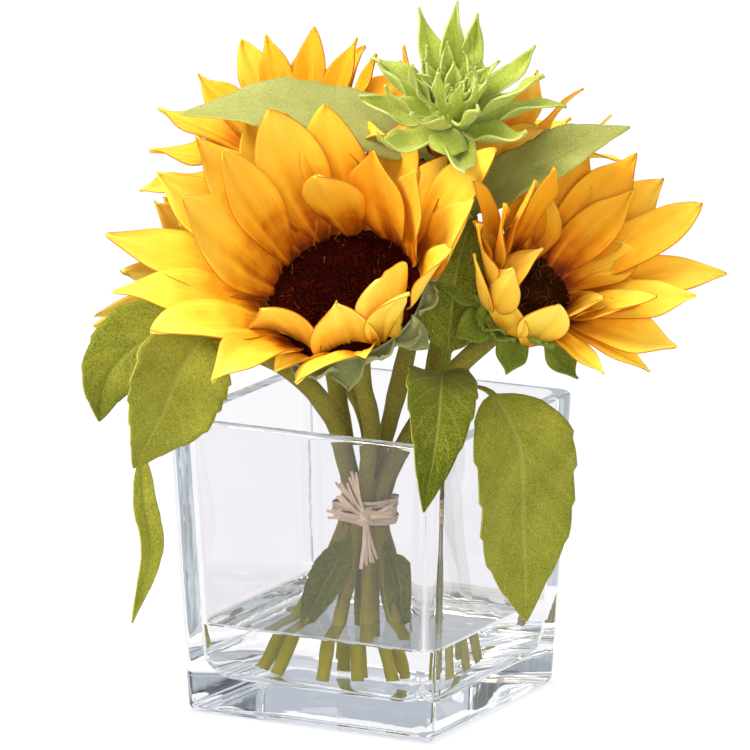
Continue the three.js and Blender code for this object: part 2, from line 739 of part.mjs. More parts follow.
const budAxes = headAxes(BUD.centre, BUD.facing);
const axesOf = new Map(HEADS.map((head) => [head.name, headAxes(head.centre, head.facing)]));
const stemAxes = new Map(HEADS.map(({ name }) => [`${name}_stem`, axesOf.get(name)]));
stemAxes.set('bud_stem', budAxes);

// Stems and leaves go in first, then sepals, discs, the bud and the petals of each head in turn.
const greens = new Map();
for (const stem of STEMS) {
  const leaves = stem.leaves.map((leaf) => leafSolid(leaf));
  greens.set(stem.name, fuse([stemSolid(stem, stemAxes.get(stem.name)), ...leaves]));
}
for (const head of HEADS) {
  const name = `${head.name}_stem`;
  const calyx = calyxSolid(axesOf.get(head.name), head.disc + RING.width + 0.6, RING.bottom - GAP);
  greens.set(name, fuse([greens.get(name), calyx]));
}
greens.set('bud_stem', fuse([greens.get('bud_stem'), calyxSolid(budAxes, BUD.calyx, BUD.bottom - GAP)]));
for (const [name, body] of greens) settle(name, body);
for (const head of HEADS) {
  const name = `${head.name}_stem`;
  const body = fuse([greens.get(name), ...sepalSolids(axesOf.get(head.name), head.disc, name)]);
  greens.set(name, body);
  settle(name, body);
}
const tie = tieSolid();
settle('raffia_tie', tie);
const discs = new Map(HEADS.map((head) => [head.name, discSolid(axesOf.get(head.name), head.disc)]));
for (const [name, body] of discs) settle(`${name}_disc`, body);
const bud = budSolid(budAxes);
settle('bud_head', bud);
const petals = new Map();
for (const head of HEADS) {
  const body = petalsSolid(head, axesOf.get(head.name));
  petals.set(head.name, body);
  settle(head.name, body);
}

// The stems stand in plain holes in the water.
const holes = STEMS.flatMap((stem) => [
  stemSolid(stem, stemAxes.get(stem.name), HOLE_GAP),
  ...stem.leaves.map((leaf) => leafSolid(leaf, HOLE_GAP)),
]);
const water = intoBouquet(waterSolid()).subtract(wasm.Manifold.union(holes));

addPiece(object, 'vase', vase, 'glass');
addPiece(bouquet, 'water', fuse([water]), 'water');
addPiece(bouquet, 'raffia_tie', tie, 'raffia');
for (const { name, disc } of HEADS) {
  addPiece(bouquet, `${name}_petals`, petals.get(name), 'petal');
  addPiece(bouquet, `${name}_disc`, discs.get(name), disc > 25 ? 'darkDisc' : 'disc');
}
for (const [name, body] of greens) addPiece(bouquet, name, body, 'leaf');
addPiece(bouquet, 'bud_head', bud, 'bud');

export default object;
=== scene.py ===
"""Sunflowers in a square glass vase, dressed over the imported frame.

Pieces are modelled in millimetres and laid down in metres. The bouquet has its own axes, +X to
its right and -Y to its front, turned about Z from those of the vase.
"""

from __future__ import annotations

import logging
import math
from collections.abc import Callable, Sequence
from dataclasses import dataclass, field, replace
from enum import Enum

import bmesh
import bpy
import numpy as np
from mathutils import Matrix, Vector
from mathutils.bvhtree import BVHTree

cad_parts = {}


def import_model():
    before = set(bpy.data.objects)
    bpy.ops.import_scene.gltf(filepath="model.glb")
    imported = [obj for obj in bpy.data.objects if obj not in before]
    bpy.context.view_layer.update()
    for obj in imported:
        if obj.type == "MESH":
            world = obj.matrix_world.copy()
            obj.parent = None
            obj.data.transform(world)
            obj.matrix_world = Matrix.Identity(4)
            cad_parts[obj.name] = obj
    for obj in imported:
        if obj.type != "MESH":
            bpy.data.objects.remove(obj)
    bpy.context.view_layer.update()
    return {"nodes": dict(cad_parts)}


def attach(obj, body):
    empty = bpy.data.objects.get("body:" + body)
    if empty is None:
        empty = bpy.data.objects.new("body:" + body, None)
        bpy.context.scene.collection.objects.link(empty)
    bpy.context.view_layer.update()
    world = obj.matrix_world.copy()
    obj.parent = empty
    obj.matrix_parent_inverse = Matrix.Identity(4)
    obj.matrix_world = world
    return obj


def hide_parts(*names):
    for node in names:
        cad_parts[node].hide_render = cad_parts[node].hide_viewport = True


log = logging.getLogger("sunflowers")

MM = 0.001
BOUQUET_TURN = math.radians(27.7)
BOUQUET = Matrix.Rotation(BOUQUET_TURN, 4, "Z") @ Matrix.Scale(MM, 4)
VASE_AXES = Matrix.Scale(MM, 4)
WATER_LEVEL = 36.0
PETAL_THICKNESS = 0.5
LEAF_THICKNESS = 0.7
BRACT_THICKNESS = 0.9
RAFFIA_THICKNESS = 0.28
RING_WIDTH = 4.2
RING_BOTTOM = -2.0
RING_TOP = 1.6
CALYX_DEPTH = 15.0
# A disc with a radius over this is of the dark velvet.
LARGE_DISC = 25.0
# A leaf's side veins along its length, and the share of it that each runs forward to the edge.
SIDE_VEINS = 9
VEIN_SLANT = 0.21
# The glass's edges sharper than this many degrees stay crisp.
GLASS_CREASE = 35.0
GOLDEN_ANGLE = math.radians(137.508)

Point = Sequence[float]
Array = np.ndarray


def draw(copy: int, kind: float) -> float:
    """Gives a repeatable draw between -1 and 1.

    Args:
        copy: Which copy of a repeated thing is being made.
        kind: Which property of it is being varied.

    Returns:
        The draw.
    """
    mixed = math.sin(copy * 12.9898 + kind * 78.233 + 4.17) * 43758.5453
    return 2 * (mixed - math.floor(mixed)) - 1


# ------------------------------------------------------------------------------ modelling
def start_fresh() -> None:
    """Deselects everything, so that operators act on the next primitive alone."""
    bpy.ops.object.select_all(action="DESELECT")


def use(*pieces: bpy.types.Object) -> None:
    """Selects pieces and makes the first one active.

    Args:
        *pieces: The pieces to select.
    """
    start_fresh()
    for piece in pieces:
        piece.select_set(True)
    bpy.context.view_layer.objects.active = pieces[0]


def pick(piece: bpy.types.Object, test: Callable[[Vector], bool]) -> None:
    """Selects a mesh's vertices by their place, in edit mode.

    Args:
        piece: The object being edited.
        test: Says whether a vertex at this place is wanted.
    """
    mesh = bmesh.from_edit_mesh(piece.data)
    for vertex in mesh.verts:
        vertex.select = bool(test(vertex.co))
    mesh.select_flush_mode()
    bmesh.update_edit_mesh(piece.data)


def settle(piece: bpy.types.Object, place: Matrix) -> bpy.types.Object:
    """Moves a piece to its place and bakes the place into its mesh.

    Args:
        piece: The piece, modelled about the origin.
        place: Where its own axes go.

    Returns:
        The same piece.
    """
    use(piece)
    piece.matrix_world = place
    bpy.ops.object.transform_apply(location=True, rotation=True, scale=True)
    return piece


def join(name: str, pieces: Sequence[bpy.types.Object]) -> bpy.types.Object:
    """Makes one named object of several.

    Args:
        name: The object's name.
        pieces: What it is made of.

    Returns:
        The object.
    """
    use(*pieces)
    if len(pieces) > 1:
        bpy.ops.object.join()
    whole = bpy.context.active_object
    whole.name = whole.data.name = name
    return whole


def draw_up(levels: Sequence[Point]) -> None:
    """Extrudes the selected face up through levels, in edit mode.

    Args:
        levels: The (half width, height) of each level; the face starts at the first one.
    """
    for (was, start), (width, height) in zip(levels, levels[1:]):
        bpy.ops.mesh.extrude_region_move(TRANSFORM_OT_translate={"value": (0, 0, height - start)})
        share = width / was
        bpy.ops.transform.resize(value=(share, share, 1), center_override=(0, 0, height))


def turn_up(name: str, levels: Sequence[Point], sides: int, smooth: float = 40) -> bpy.types.Object:
    """Turns a closed round solid about Z.

    Args:
        name: The piece's name.
        levels: The (radius, height) of each level from the bottom up.
        sides: How many sides it has.
        smooth: Edges sharper than this many degrees stay crisp.

    Returns:
        The solid.
    """
    start_fresh()
    radius, height = levels[0]
    bpy.ops.mesh.primitive_circle_add(
        vertices=sides, radius=radius, fill_type="NGON", location=(0, 0, height)
    )
    solid = settle(bpy.context.active_object, bpy.context.active_object.matrix_world.copy())
    bpy.ops.object.mode_set(mode="EDIT")
    bpy.ops.mesh.select_all(action="SELECT")
    draw_up(levels)
    close_up(solid, smooth)
    solid.name = name
    return solid


def square_up(name: str, levels: Sequence[Point], corner: float, steps: int) -> bpy.types.Object:
    """Builds a closed square tower with rounded corners about Z.

    Args:
        name: The piece's name.
        levels: The (half width, height) of each level from the bottom up.
        corner: The corners' radius at the first level.
        steps: How many faces round each corner.

    Returns:
        The tower.
    """
    start_fresh()
    half, height = levels[0]
    bpy.ops.mesh.primitive_plane_add(size=2 * half, location=(0, 0, height))
    tower = settle(bpy.context.active_object, bpy.context.active_object.matrix_world.copy())
    bpy.ops.object.mode_set(mode="EDIT")
    bpy.ops.mesh.select_all(action="SELECT")
    bpy.ops.mesh.bevel(offset=corner, segments=steps, affect="VERTICES", offset_type="OFFSET")
    bpy.ops.mesh.select_all(action="SELECT")
    draw_up(levels)
    close_up(tower, GLASS_CREASE)
    tower.name = name
    return tower


def plant(piece: bpy.types.Object, place: Matrix) -> bpy.types.Object:
    """Copies a piece, with a mesh of its own, to a place.

    Args:
        piece: The piece, modelled about the origin.
        place: Where the copy's own axes go.

    Returns:
        The copy.
    """
    mesh = piece.data.copy()
    mesh.transform(place)
    copy = bpy.data.objects.new(piece.name, mesh)
    bpy.context.collection.objects.link(copy)
    return copy


def quarter(radius: float, step: int) -> list[tuple[float, float]]:
    """Steps round a quarter circle, from where it meets one side to where it meets the other.

    Args:
        radius: Its radius.
        step: The degrees between its points.

    Returns:
        How far each point lies from the first side and from the second.
    """
    turns = [math.radians(degrees) for degrees in range(0, 91, step)]
    return [(radius * (1 - math.cos(turn)), radius * (1 - math.sin(turn))) for turn in turns]


def close_up(piece: bpy.types.Object, smooth: float) -> None:
    """Turns a mesh's faces outwards, leaves edit mode and smooths it.

    Args:
        piece: The piece being edited.
        smooth: Edges sharper than this many degrees stay crisp.
    """
    bpy.ops.mesh.select_all(action="SELECT")
    bpy.ops.mesh.normals_make_consistent(inside=False)
    bpy.ops.object.mode_set(mode="OBJECT")
    use(piece)
    bpy.ops.object.shade_smooth_by_angle(angle=math.radians(smooth))


def apply_modifier(piece: bpy.types.Object, kind: str, **settings: object) -> None:
    """Adds a modifier, sets it and applies it.

    Args:
        piece: The piece to finish.
        kind: The modifier's type.
        **settings: Its values by name.
    """
    use(piece)
    modifier = piece.modifiers.new(kind.title(), kind)
    for key, value in settings.items():
        setattr(modifier, key, value)
    bpy.ops.object.modifier_apply(modifier=modifier.name)


def smooth_path(points: Sequence[Point], places: Array) -> tuple[Array, Array]:
    """Runs a centripetal Catmull-Rom curve through points.

    Args:
        points: The points it passes through.
        places: Shares of its length, from 0 to 1.

    Returns:
        The curve's points and its directions at those places.
    """
    p = np.array(points, float)
    p = np.vstack([2 * p[0] - p[1], p, 2 * p[-1] - p[-2]])
    gap = np.sqrt(np.linalg.norm(np.diff(p, axis=0), axis=1))
    step = np.linspace(0, 1, 60, endpoint=False)[:, None]
    spans = []
    for i in range(1, len(p) - 2):
        a, b, c, d = p[i - 1 : i + 3]
        g, h, k = gap[i - 1 : i + 2]
        leave = h * ((b - a) / g - (c - a) / (g + h) + (c - b) / h)
        arrive = h * ((c - b) / h - (d - b) / (h + k) + (d - c) / k)
        cubic = 2 * b - 2 * c + leave + arrive
        square = -3 * b + 3 * c - 2 * leave - arrive
        spans.append(cubic * step**3 + square * step**2 + leave * step + b)
    fine = np.vstack([*spans, p[-2][None]])
    length = np.concatenate([[0], np.cumsum(np.linalg.norm(np.diff(fine, axis=0), axis=1))])
    slope = np.gradient(fine, axis=0)
    at = np.asarray(places) * length[-1]
    curve, way = (
        np.column_stack([np.interp(at, length, each[:, k]) for k in range(3)])
        for each in (fine, slope)
    )
    return curve, way / np.linalg.norm(way, axis=1, keepdims=True)


def bar(name: str, path: Array, radii: Array, sides: int) -> bpy.types.Object:
    """Makes a closed round bar along a path: a bevelled curve made a mesh.

    Args:
        name: The piece's name.
        path: The points along its middle.
        radii: Its radius at each of them.
        sides: How many sides it has, an even number over 3.

    Returns:
        The bar.
    """
    curve = bpy.data.curves.new(name, "CURVE")
    curve.dimensions = "3D"
    curve.bevel_depth = 1
    curve.bevel_resolution = (sides - 4) // 2
    curve.use_fill_caps = True
    spline = curve.splines.new("POLY")
    spline.points.add(len(path) - 1)
    for point, place, radius in zip(spline.points, path, radii):
        point.co = (*place, 1)
        point.radius = radius
    piece = bpy.data.objects.new(name, curve)
    bpy.context.collection.objects.link(piece)
    use(piece)
    bpy.ops.object.convert(target="MESH")
    bpy.ops.object.mode_set(mode="EDIT")
    bpy.ops.mesh.select_all(action="SELECT")
    bpy.ops.mesh.remove_doubles(threshold=0.001)
    close_up(piece, 50)
    return piece


# ------------------------------------------------------------------------------ finishes
def linear(code: str) -> tuple[float, float, float, float]:
    """Turns an sRGB hex colour into linear light.

    Args:
        code: The colour, such as "f6bd23".

    Returns:
        Its red, green, blue and an alpha of 1.
    """
    parts = (int(code[i : i + 2], 16) / 255 for i in (0, 2, 4))
    return (*(p / 12.92 if p <= 0.04045 else ((p + 0.055) / 1.055) ** 2.4 for p in parts), 1.0)


def add(
    tree: bpy.types.NodeTree,
    kind: str,
    inputs: dict[str | int, object] | None = None,
    stops: Sequence[tuple[float, str]] = (),
    **settings: object,
) -> bpy.types.NodeSocket:
    """Adds a node with its settings and links.

    Args:
        tree: The material's or the world's nodes.
        kind: The node's type, without ShaderNode.
        inputs: By socket, a value for it or the output that feeds it.
        stops: A colour ramp's places and colours.
        **settings: The node's own properties.

    Returns:
        The node's first output, or its input where it has none.
    """
    node = tree.nodes.new(f"ShaderNode{kind}")
    for key, value in settings.items():
        setattr(node, key, value)
    if stops:
        ramp = node.color_ramp.elements
        while len(ramp) < len(stops):
            ramp.new(1.0)
        for stop, (place, code) in zip(ramp, stops):
            stop.position, stop.color = place, linear(code)
    for key, value in (inputs or {}).items():
        if isinstance(value, bpy.types.NodeSocket):
            tree.links.new(value, node.inputs[key])
        else:
            node.inputs[key].default_value = value
    return (node.outputs or node.inputs)[0]


@dataclass(frozen=True)
class Finish:
    """A surface finish, made into a material the first time that it is asked for."""

    name: str

    def shader(self, tree: bpy.types.NodeTree) -> bpy.types.NodeSocket:
        """Adds the finish's nodes.

        Args:
            tree: The material's nodes.

        Returns:
            The surface that they make.
        """
        raise NotImplementedError

    def material(self) -> bpy.types.Material:
        """Gives the finish's material.

        Returns:
            The material, which all pieces of this finish share.
        """
        made = bpy.data.materials.get(self.name)
        if made is None:
            made = bpy.data.materials.new(self.name)
            made.use_nodes = True
            made.node_tree.nodes.clear()
            add(made.node_tree, "OutputMaterial", {"Surface": self.shader(made.node_tree)})
        return made


@dataclass(frozen=True)
class PetalCloth(Finish):
    """Dyed polyester petal cloth, heat-set over a mould: a soft, slightly satin face with fine
    pressed veins along the petal, air-brushed darker towards the root. It is thin enough to let
    some light through, which warms its shaded side."""

    stops: tuple[tuple[float, str], ...] = (
        (0.0, "6a2a03"), (0.13, "b6620b"), (0.31, "eaaa20"), (0.56, "fbd03f"), (1.0, "fde05c"),
    )
    edge: str = "b4640c"
    deep: str = "eac170"
    nap: str = "ffd980"
    roughness: float = 0.6

    def shader(self, tree: bpy.types.NodeTree) -> bpy.types.NodeSocket:
        """Adds the cloth's nodes.

        Args:
            tree: The material's nodes.

        Returns:
            The surface that they make.
        """
        place = add(tree, "UVMap", uv_map="UVMap")
        split = add(tree, "SeparateXYZ", {"Vector": place}).node
        across, along = split.outputs["X"], split.outputs["Y"]
        solid = add(tree, "TexCoord").node.outputs["Object"]
        tone = add(tree, "Attribute", attribute_name="tone").node.outputs["Fac"]
        # Pressed veins stand about 1 mm apart, and the dye runs in streaks four times as wide.
        pressed = add(tree, "Mapping", {"Vector": place, "Scale": (26, 1.1, 1), "Location": solid})
        veins = add(tree, "TexNoise", {"Vector": pressed, "Scale": 1.0, "Detail": 3.0})
        brushed = add(tree, "Mapping", {"Vector": place, "Scale": (6, 0.9, 1), "Location": solid})
        streaks = add(tree, "TexNoise", {"Vector": brushed, "Scale": 1.0, "Detail": 2.0})
        clouds = add(tree, "TexNoise", {"Vector": solid, "Scale": 1 / (12 * MM), "Detail": 2.0})
        weave = add(tree, "TexNoise", {"Vector": solid, "Scale": 1 / (0.6 * MM), "Detail": 1.0})
        drift = add(tree, "Math", {0: streaks, 1: clouds}, operation="ADD")
        drift = add(
            tree, "MapRange",
            {"Value": drift, "From Min": 0.6, "From Max": 1.4, "To Min": -0.2, "To Max": 0.2},
        )
        shifted = add(tree, "Math", {0: along, 1: drift}, operation="ADD")
        colour = add(tree, "ValToRGB", {"Fac": shifted}, self.stops)
        # The tone attribute deepens the colour towards the deep colour. It carries each petal's own
        # tone and its painted shade and painted light.
        dip = add(tree, "MapRange", {"Value": tone, "From Min": -0.5})
        colour = add(
            tree, "MixRGB", {"Fac": dip, "Color1": colour, "Color2": linear(self.deep)},
            blend_type="MULTIPLY",
        )
        shade = add(tree, "Math", {0: veins, 1: streaks}, operation="ADD")
        shade = add(
            tree, "MapRange",
            {"Value": shade, "From Min": 0.7, "From Max": 1.3, "To Min": 0.93, "To Max": 1.04},
        )
        colour = add(tree, "VectorMath", {0: colour, 1: shade}, operation="MULTIPLY")
        rim = add(tree, "Math", {0: across, 1: 0.5}, operation="SUBTRACT")
        rim = add(tree, "Math", {0: rim}, operation="ABSOLUTE")
        rim = add(
            tree, "MapRange", {"Value": rim, "From Min": 0.46, "From Max": 0.497, "To Max": 0.55}
        )
        rim = add(tree, "Math", {0: rim, 1: clouds}, operation="MULTIPLY")
        colour = add(tree, "MixRGB", {"Fac": rim, "Color1": colour, "Color2": linear(self.edge)})
        height = add(tree, "Math", {0: veins, 1: weave}, operation="ADD")
        bump = add(tree, "Bump", {"Height": height, "Strength": 0.3, "Distance": 0.25 * MM})
        return add(
            tree, "BsdfPrincipled",
            {
                "Base Color": colour, "Roughness": self.roughness, "Normal": bump,
                "Sheen Weight": 0.03, "Sheen Roughness": 0.5, "Sheen Tint": linear(self.nap),
                "Specular IOR Level": 0.08, "Subsurface Weight": 0.6,
                "Subsurface Radius": (1.0, 0.45, 0.12), "Subsurface Scale": 0.7 * MM,
            },
        )


@dataclass(frozen=True)
class Velvet(Finish):
    """Long-pile polyester velvet: it drinks light from straight on and catches it at the side of
    each tuft."""

    deep: str = "1a0200"
    high: str = "380700"
    nap: str = "6a1c06"
    patch: float = 6 * MM
    pile: float = 0.9 * MM

    def shader(self, tree: bpy.types.NodeTree) -> bpy.types.NodeSocket:
        """Adds the velvet's nodes.

        Args:
            tree: The material's nodes.

        Returns:
            The surface that they make.
        """
        solid = add(tree, "TexCoord").node.outputs["Object"]
        patches = add(tree, "TexNoise", {"Vector": solid, "Scale": 1 / self.patch, "Detail": 3.0})
        pile = add(tree, "TexNoise", {"Vector": solid, "Scale": 1 / self.pile, "Detail": 2.0})
        mixed = add(tree, "Math", {0: patches, 1: pile}, operation="MULTIPLY")
        colour = add(tree, "ValToRGB", {"Fac": mixed}, ((0.12, self.deep), (0.42, self.high)))
        bump = add(tree, "Bump", {"Height": pile, "Strength": 0.8, "Distance": 0.5 * MM})
        return add(
            tree, "BsdfPrincipled",
            {
                "Base Color": colour, "Roughness": 0.95, "Normal": bump,
                "Sheen Weight": 0.03, "Sheen Roughness": 0.35, "Sheen Tint": linear(self.nap),
                "Specular IOR Level": 0.04,
            },
        )


@dataclass(frozen=True)
class Flock(Finish):
    """Nylon flock glued over moulded plastic: matt, speckled, and paler where its fibres stand
    up at an edge."""

    light: str
    dark: str
    vein: str = "b9bb66"
    nap: str = "d6d68a"
    veins: bool = False
    grain: float = 0.7 * MM
    fluff: float = 0.25
    wet: str = ""

    def shader(self, tree: bpy.types.NodeTree) -> bpy.types.NodeSocket:
        """Adds the flock's nodes.

        Args:
            tree: The material's nodes.

        Returns:
            The surface that they make.
        """
        solid = add(tree, "TexCoord").node.outputs["Object"]
        tone = add(tree, "Attribute", attribute_name="tone").node.outputs["Fac"]
        clouds = add(tree, "TexNoise", {"Vector": solid, "Scale": 1 / (14 * MM), "Detail": 3.0})
        speckle = add(tree, "TexNoise", {"Vector": solid, "Scale": 1 / self.grain, "Detail": 2.0})
        mixed = add(tree, "Math", {0: clouds, 1: 0.45, 2: speckle}, operation="MULTIPLY_ADD")
        # The tone attribute darkens or pales the flock. On leaves it also carries painted shade.
        mixed = add(tree, "Math", {0: tone, 1: -0.22, 2: mixed}, operation="MULTIPLY_ADD")
        mixed = add(tree, "MapRange", {"Value": mixed, "From Min": 0.32, "From Max": 1.14})
        colour = add(tree, "ValToRGB", {"Fac": mixed}, ((0.0, self.dark), (1.0, self.light)))
        if self.wet:
            height = add(tree, "SeparateXYZ", {"Vector": solid}).node.outputs["Z"]
            soaked = add(
                tree, "MapRange",
                {"Value": height, "From Min": 45 * MM, "From Max": 32 * MM, "To Max": 0.85},
            )
            colour = add(
                tree, "MixRGB", {"Fac": soaked, "Color1": colour, "Color2": linear(self.wet)}
            )
        if self.veins:
            colour = add(
                tree, "MixRGB",
                {"Fac": self.vein_lines(tree), "Color1": colour, "Color2": linear(self.vein)},
            )
        bump = add(tree, "Bump", {"Height": speckle, "Strength": 0.5, "Distance": 0.35 * MM})
        return add(
            tree, "BsdfPrincipled",
            {
                "Base Color": colour, "Roughness": 0.92, "Normal": bump,
                "Sheen Weight": self.fluff, "Sheen Roughness": 0.45,
                "Sheen Tint": linear(self.nap), "Specular IOR Level": 0.1,
            },
        )

    def vein_lines(self, tree: bpy.types.NodeTree) -> bpy.types.NodeSocket:
        """Adds a leaf's midrib and side veins over its UV map.

        Args:
            tree: The material's nodes.

        Returns:
            How strong the veins' colour is.
        """
        place = add(tree, "UVMap", uv_map="UVMap")
        split = add(tree, "SeparateXYZ", {"Vector": place}).node
        out = add(tree, "Math", {0: split.outputs["X"], 1: 0.5}, operation="SUBTRACT")
        out = add(tree, "Math", {0: out}, operation="ABSOLUTE")
        rib = add(
            tree, "MapRange",
            {"Value": out, "From Min": 0.012, "From Max": 0.035, "To Min": 0.22, "To Max": 0.0},
        )
        slant = add(
            tree, "Math", {0: out, 1: -2 * VEIN_SLANT, 2: split.outputs["Y"]},
            operation="MULTIPLY_ADD",
        )
        slant = add(tree, "Math", {0: slant, 1: SIDE_VEINS}, operation="MULTIPLY")
        slant = add(tree, "Math", {0: slant, 1: 0.5}, operation="PINGPONG")
        side = add(
            tree, "MapRange",
            {"Value": slant, "From Min": 0.02, "From Max": 0.13, "To Min": 0.08, "To Max": 0.0},
        )
        return add(tree, "Math", {0: rib, 1: side}, operation="MAXIMUM")


@dataclass(frozen=True)
class Raffia(Finish):
    """Dried raffia palm leaf, split into strips: pale, faintly pink, dull with a satin grain
    along each strip."""

    stops: tuple[tuple[float, str], ...] = ((0.2, "d6b294"), (0.5, "f0d3b8"), (0.85, "fbeada"))

    def shader(self, tree: bpy.types.NodeTree) -> bpy.types.NodeSocket:
        """Adds the raffia's nodes.

        Args:
            tree: The material's nodes.

        Returns:
            The surface that they make.
        """
        place = add(tree, "UVMap", uv_map="UVMap")
        stretched = add(tree, "Mapping", {"Vector": place, "Scale": (9, 1.2, 1)})
        grain = add(tree, "TexNoise", {"Vector": stretched, "Scale": 1.0, "Detail": 3.0})
        solid = add(tree, "TexCoord").node.outputs["Object"]
        patches = add(tree, "TexNoise", {"Vector": solid, "Scale": 1 / (4 * MM), "Detail": 1.0})
        mixed = add(tree, "MixRGB", {"Fac": 0.4, "Color1": grain, "Color2": patches})
        colour = add(tree, "ValToRGB", {"Fac": mixed}, self.stops)
        bump = add(tree, "Bump", {"Height": grain, "Strength": 0.6, "Distance": 0.3 * MM})
        return add(
            tree, "BsdfPrincipled",
            {"Base Color": colour, "Roughness": 0.6, "Normal": bump, "Specular IOR Level": 0.3},
        )


@dataclass(frozen=True)
class Clear(Finish):
    """Clear soda-lime glass or water: colourless through the thin and faintly tinted through
    the thick. Pressed glass and water that has been knocked have a slow wave in their surface.
    A painted glow stands in for light that has turned round inside a wall more often than a path is
    followed: it comes out as its edge's soft blue-grey, drawn in faint upright lines."""

    ior: float = 1.5
    tint: str = "f6fafc"
    wave: float = 0.0
    painted_glow: str = "949b9f"
    turns: float = 3.5

    def shader(self, tree: bpy.types.NodeTree) -> bpy.types.NodeSocket:
        """Adds the clear surface's nodes.

        Args:
            tree: The material's nodes.

        Returns:
            The surface that they make.
        """
        solid = add(tree, "TexCoord").node.outputs["Object"]
        slow = add(tree, "TexNoise", {"Vector": solid, "Scale": 1 / (9 * MM), "Detail": 1.5})
        bump = add(tree, "Bump", {"Height": slow, "Strength": 1.0, "Distance": self.wave * MM})
        # The emission is a painted glow. It is lit only on paths that have turned round inside a
        # wall more than turns times.
        turned = add(tree, "LightPath").node.outputs["Glossy Depth"]
        painted_glow_strength = add(tree, "Math", {0: turned, 1: self.turns}, operation="GREATER_THAN")
        # The painted glow's lines are about 4 mm wide and 60 mm long.
        size = (1 / (4 * MM), 1 / (4 * MM), 1 / (60 * MM))
        drawn = add(tree, "Mapping", {"Vector": solid, "Scale": size})
        lines = add(tree, "TexNoise", {"Vector": drawn, "Scale": 1.0, "Detail": 1.0})
        lines = add(
            tree, "MapRange",
            {"Value": lines, "From Min": 0.35, "From Max": 0.62, "To Min": 0.45, "To Max": 1.15},
        )
        painted_glow_strength = add(tree, "Math", {0: painted_glow_strength, 1: lines}, operation="MULTIPLY")
        return add(
            tree, "BsdfPrincipled",
            {
                "Base Color": linear(self.tint), "Roughness": 0.0, "IOR": self.ior,
                "Transmission Weight": 1.0, "Normal": bump, "Emission Color": linear(self.painted_glow),
                "Emission Strength": painted_glow_strength,
            },
        )


@dataclass(frozen=True)
class Unseen(Finish):
    """The side of the water that lies on the glass, where the glass's own face bends light."""

    def shader(self, tree: bpy.types.NodeTree) -> bpy.types.NodeSocket:
        """Adds a surface that lets everything through."""
        return add(tree, "BsdfTransparent", {"Color": linear("ffffff")})


@dataclass(frozen=True)
class LightTable(Finish):
    """An opal acrylic table lit from below. It burns out to plain white round the glass and has a
    painted shadow, a little dimmer and bluer, in a square where the vase stands on it."""

    glow: float = 1.01
    lit: str = "ffffff"
    # The painted shadow's colour under the vase.
    shaded: str = "c3cdd8"

    def shader(self, tree: bpy.types.NodeTree) -> bpy.types.NodeSocket:
        """Adds the acrylic's nodes.

        Args:
            tree: The material's nodes.

        Returns:
            The surface that they make.
        """
        solid = add(tree, "TexCoord").node.outputs["Object"]
        place = add(tree, "SeparateXYZ", {"Vector": solid}).node.outputs
        across, along = (add(tree, "Math", {0: place[k]}, operation="ABSOLUTE") for k in "XY")
        reach = add(tree, "Math", {0: across, 1: along}, operation="MAXIMUM")
        # The painted shadow fills the square under the foot and fades to white between 46 and 57 mm
        # out.
        out = add(tree, "MapRange", {"Value": reach, "From Min": 46 * MM, "From Max": 57 * MM})
        light = add(
            tree, "MixRGB",
            {"Fac": out, "Color1": linear(self.shaded), "Color2": linear(self.lit)},
        )
        return add(
            tree, "BsdfPrincipled",
            {
                "Base Color": linear("3a3a3a"), "Roughness": 0.9, "Specular IOR Level": 0.0,
                "Emission Color": light, "Emission Strength": self.glow,
            },
        )


PETAL = PetalCloth("dyed_petal_cloth")
# The petals' backs are paler than their faces. These stops are also painted lighter still, as
# painted light, for the backs of the front petals that face away from the lamps.
PETAL_BACK = PetalCloth(
    "dyed_petal_cloth_back",
    stops=((0.0, "a8660c"), (0.16, "e2a828"), (0.4, "f9cc44"), (0.8, "fddb5c"), (1.0, "fde06c")),
    roughness=0.7,
)
PETAL_EDGE = PetalCloth(
    "cut_petal_edge", stops=((0.0, "7a3f06"), (0.5, "c27c16"), (1.0, "d4961f")), edge="b06a10"
)
DARK_VELVET = Velvet("dark_brown_velvet")
BROWN_VELVET = Velvet("brown_velvet", deep="200b02", high="4a220a", nap="96643a")
FIBRE = Velvet("loose_velvet_fibre", deep="6a3c18", high="a87844", nap="d9b080")
LEAF = Flock("flocked_leaf", light="a8a63e", dark="4a520c", veins=True)
PALE_LEAF = Flock("pale_flocked_leaf", light="b6b870", dark="80843a", veins=True, fluff=0.3)
LEAF_BACK = Flock("flocked_leaf_underside", light="bec072", dark="8c923c", veins=True)
LEAF_EDGE = Flock("flocked_leaf_edge", light="b9b858", dark="99993a")
STEM_FLOCK = Flock(
    "flocked_stem", light="a89e4a", dark="685c18", nap="efe9c8", grain=0.8 * MM, wet="b4aa2a"
)
SEPAL = Flock("flocked_sepal", light="b0b580", dark="727946", nap="e4e4c4", fluff=0.3)
GREEN_SEPAL = Flock("green_flocked_sepal", light="8f9a3c", dark="47570f", nap="d0d49a")
BUD_FLOCK = Flock("flocked_bud", light="ccd66c", dark="869618", nap="eef2c8", fluff=0.3)
BUD_EDGE = Flock("flocked_bud_edge", light="d6de8c", dark="b6c05c", nap="f4f6d8", fluff=0.3)
RAFFIA = Raffia("dried_raffia")
GLASS = Clear("pressed_glass", tint="f5f4f7", wave=0.04)
WET_GLASS = Clear("glass_under_water", ior=1.5 / 1.333, tint="ffffff")
WATER_TOP = Clear("still_water", ior=1.333, tint="cfcdbe", wave=0.35)
WATER_SIDE = Unseen("water_on_glass")
OPAL = LightTable("opal_acrylic_table")


class Slot(Enum):
    """The record's material slots."""

    GLASS = "glass"
    WATER = "water"
    PETAL = "petal"
    DARK_DISC = "dark_disc"
    DISC = "disc"
    LEAF = "leaf"
    BUD = "bud"
    RAFFIA = "raffia"


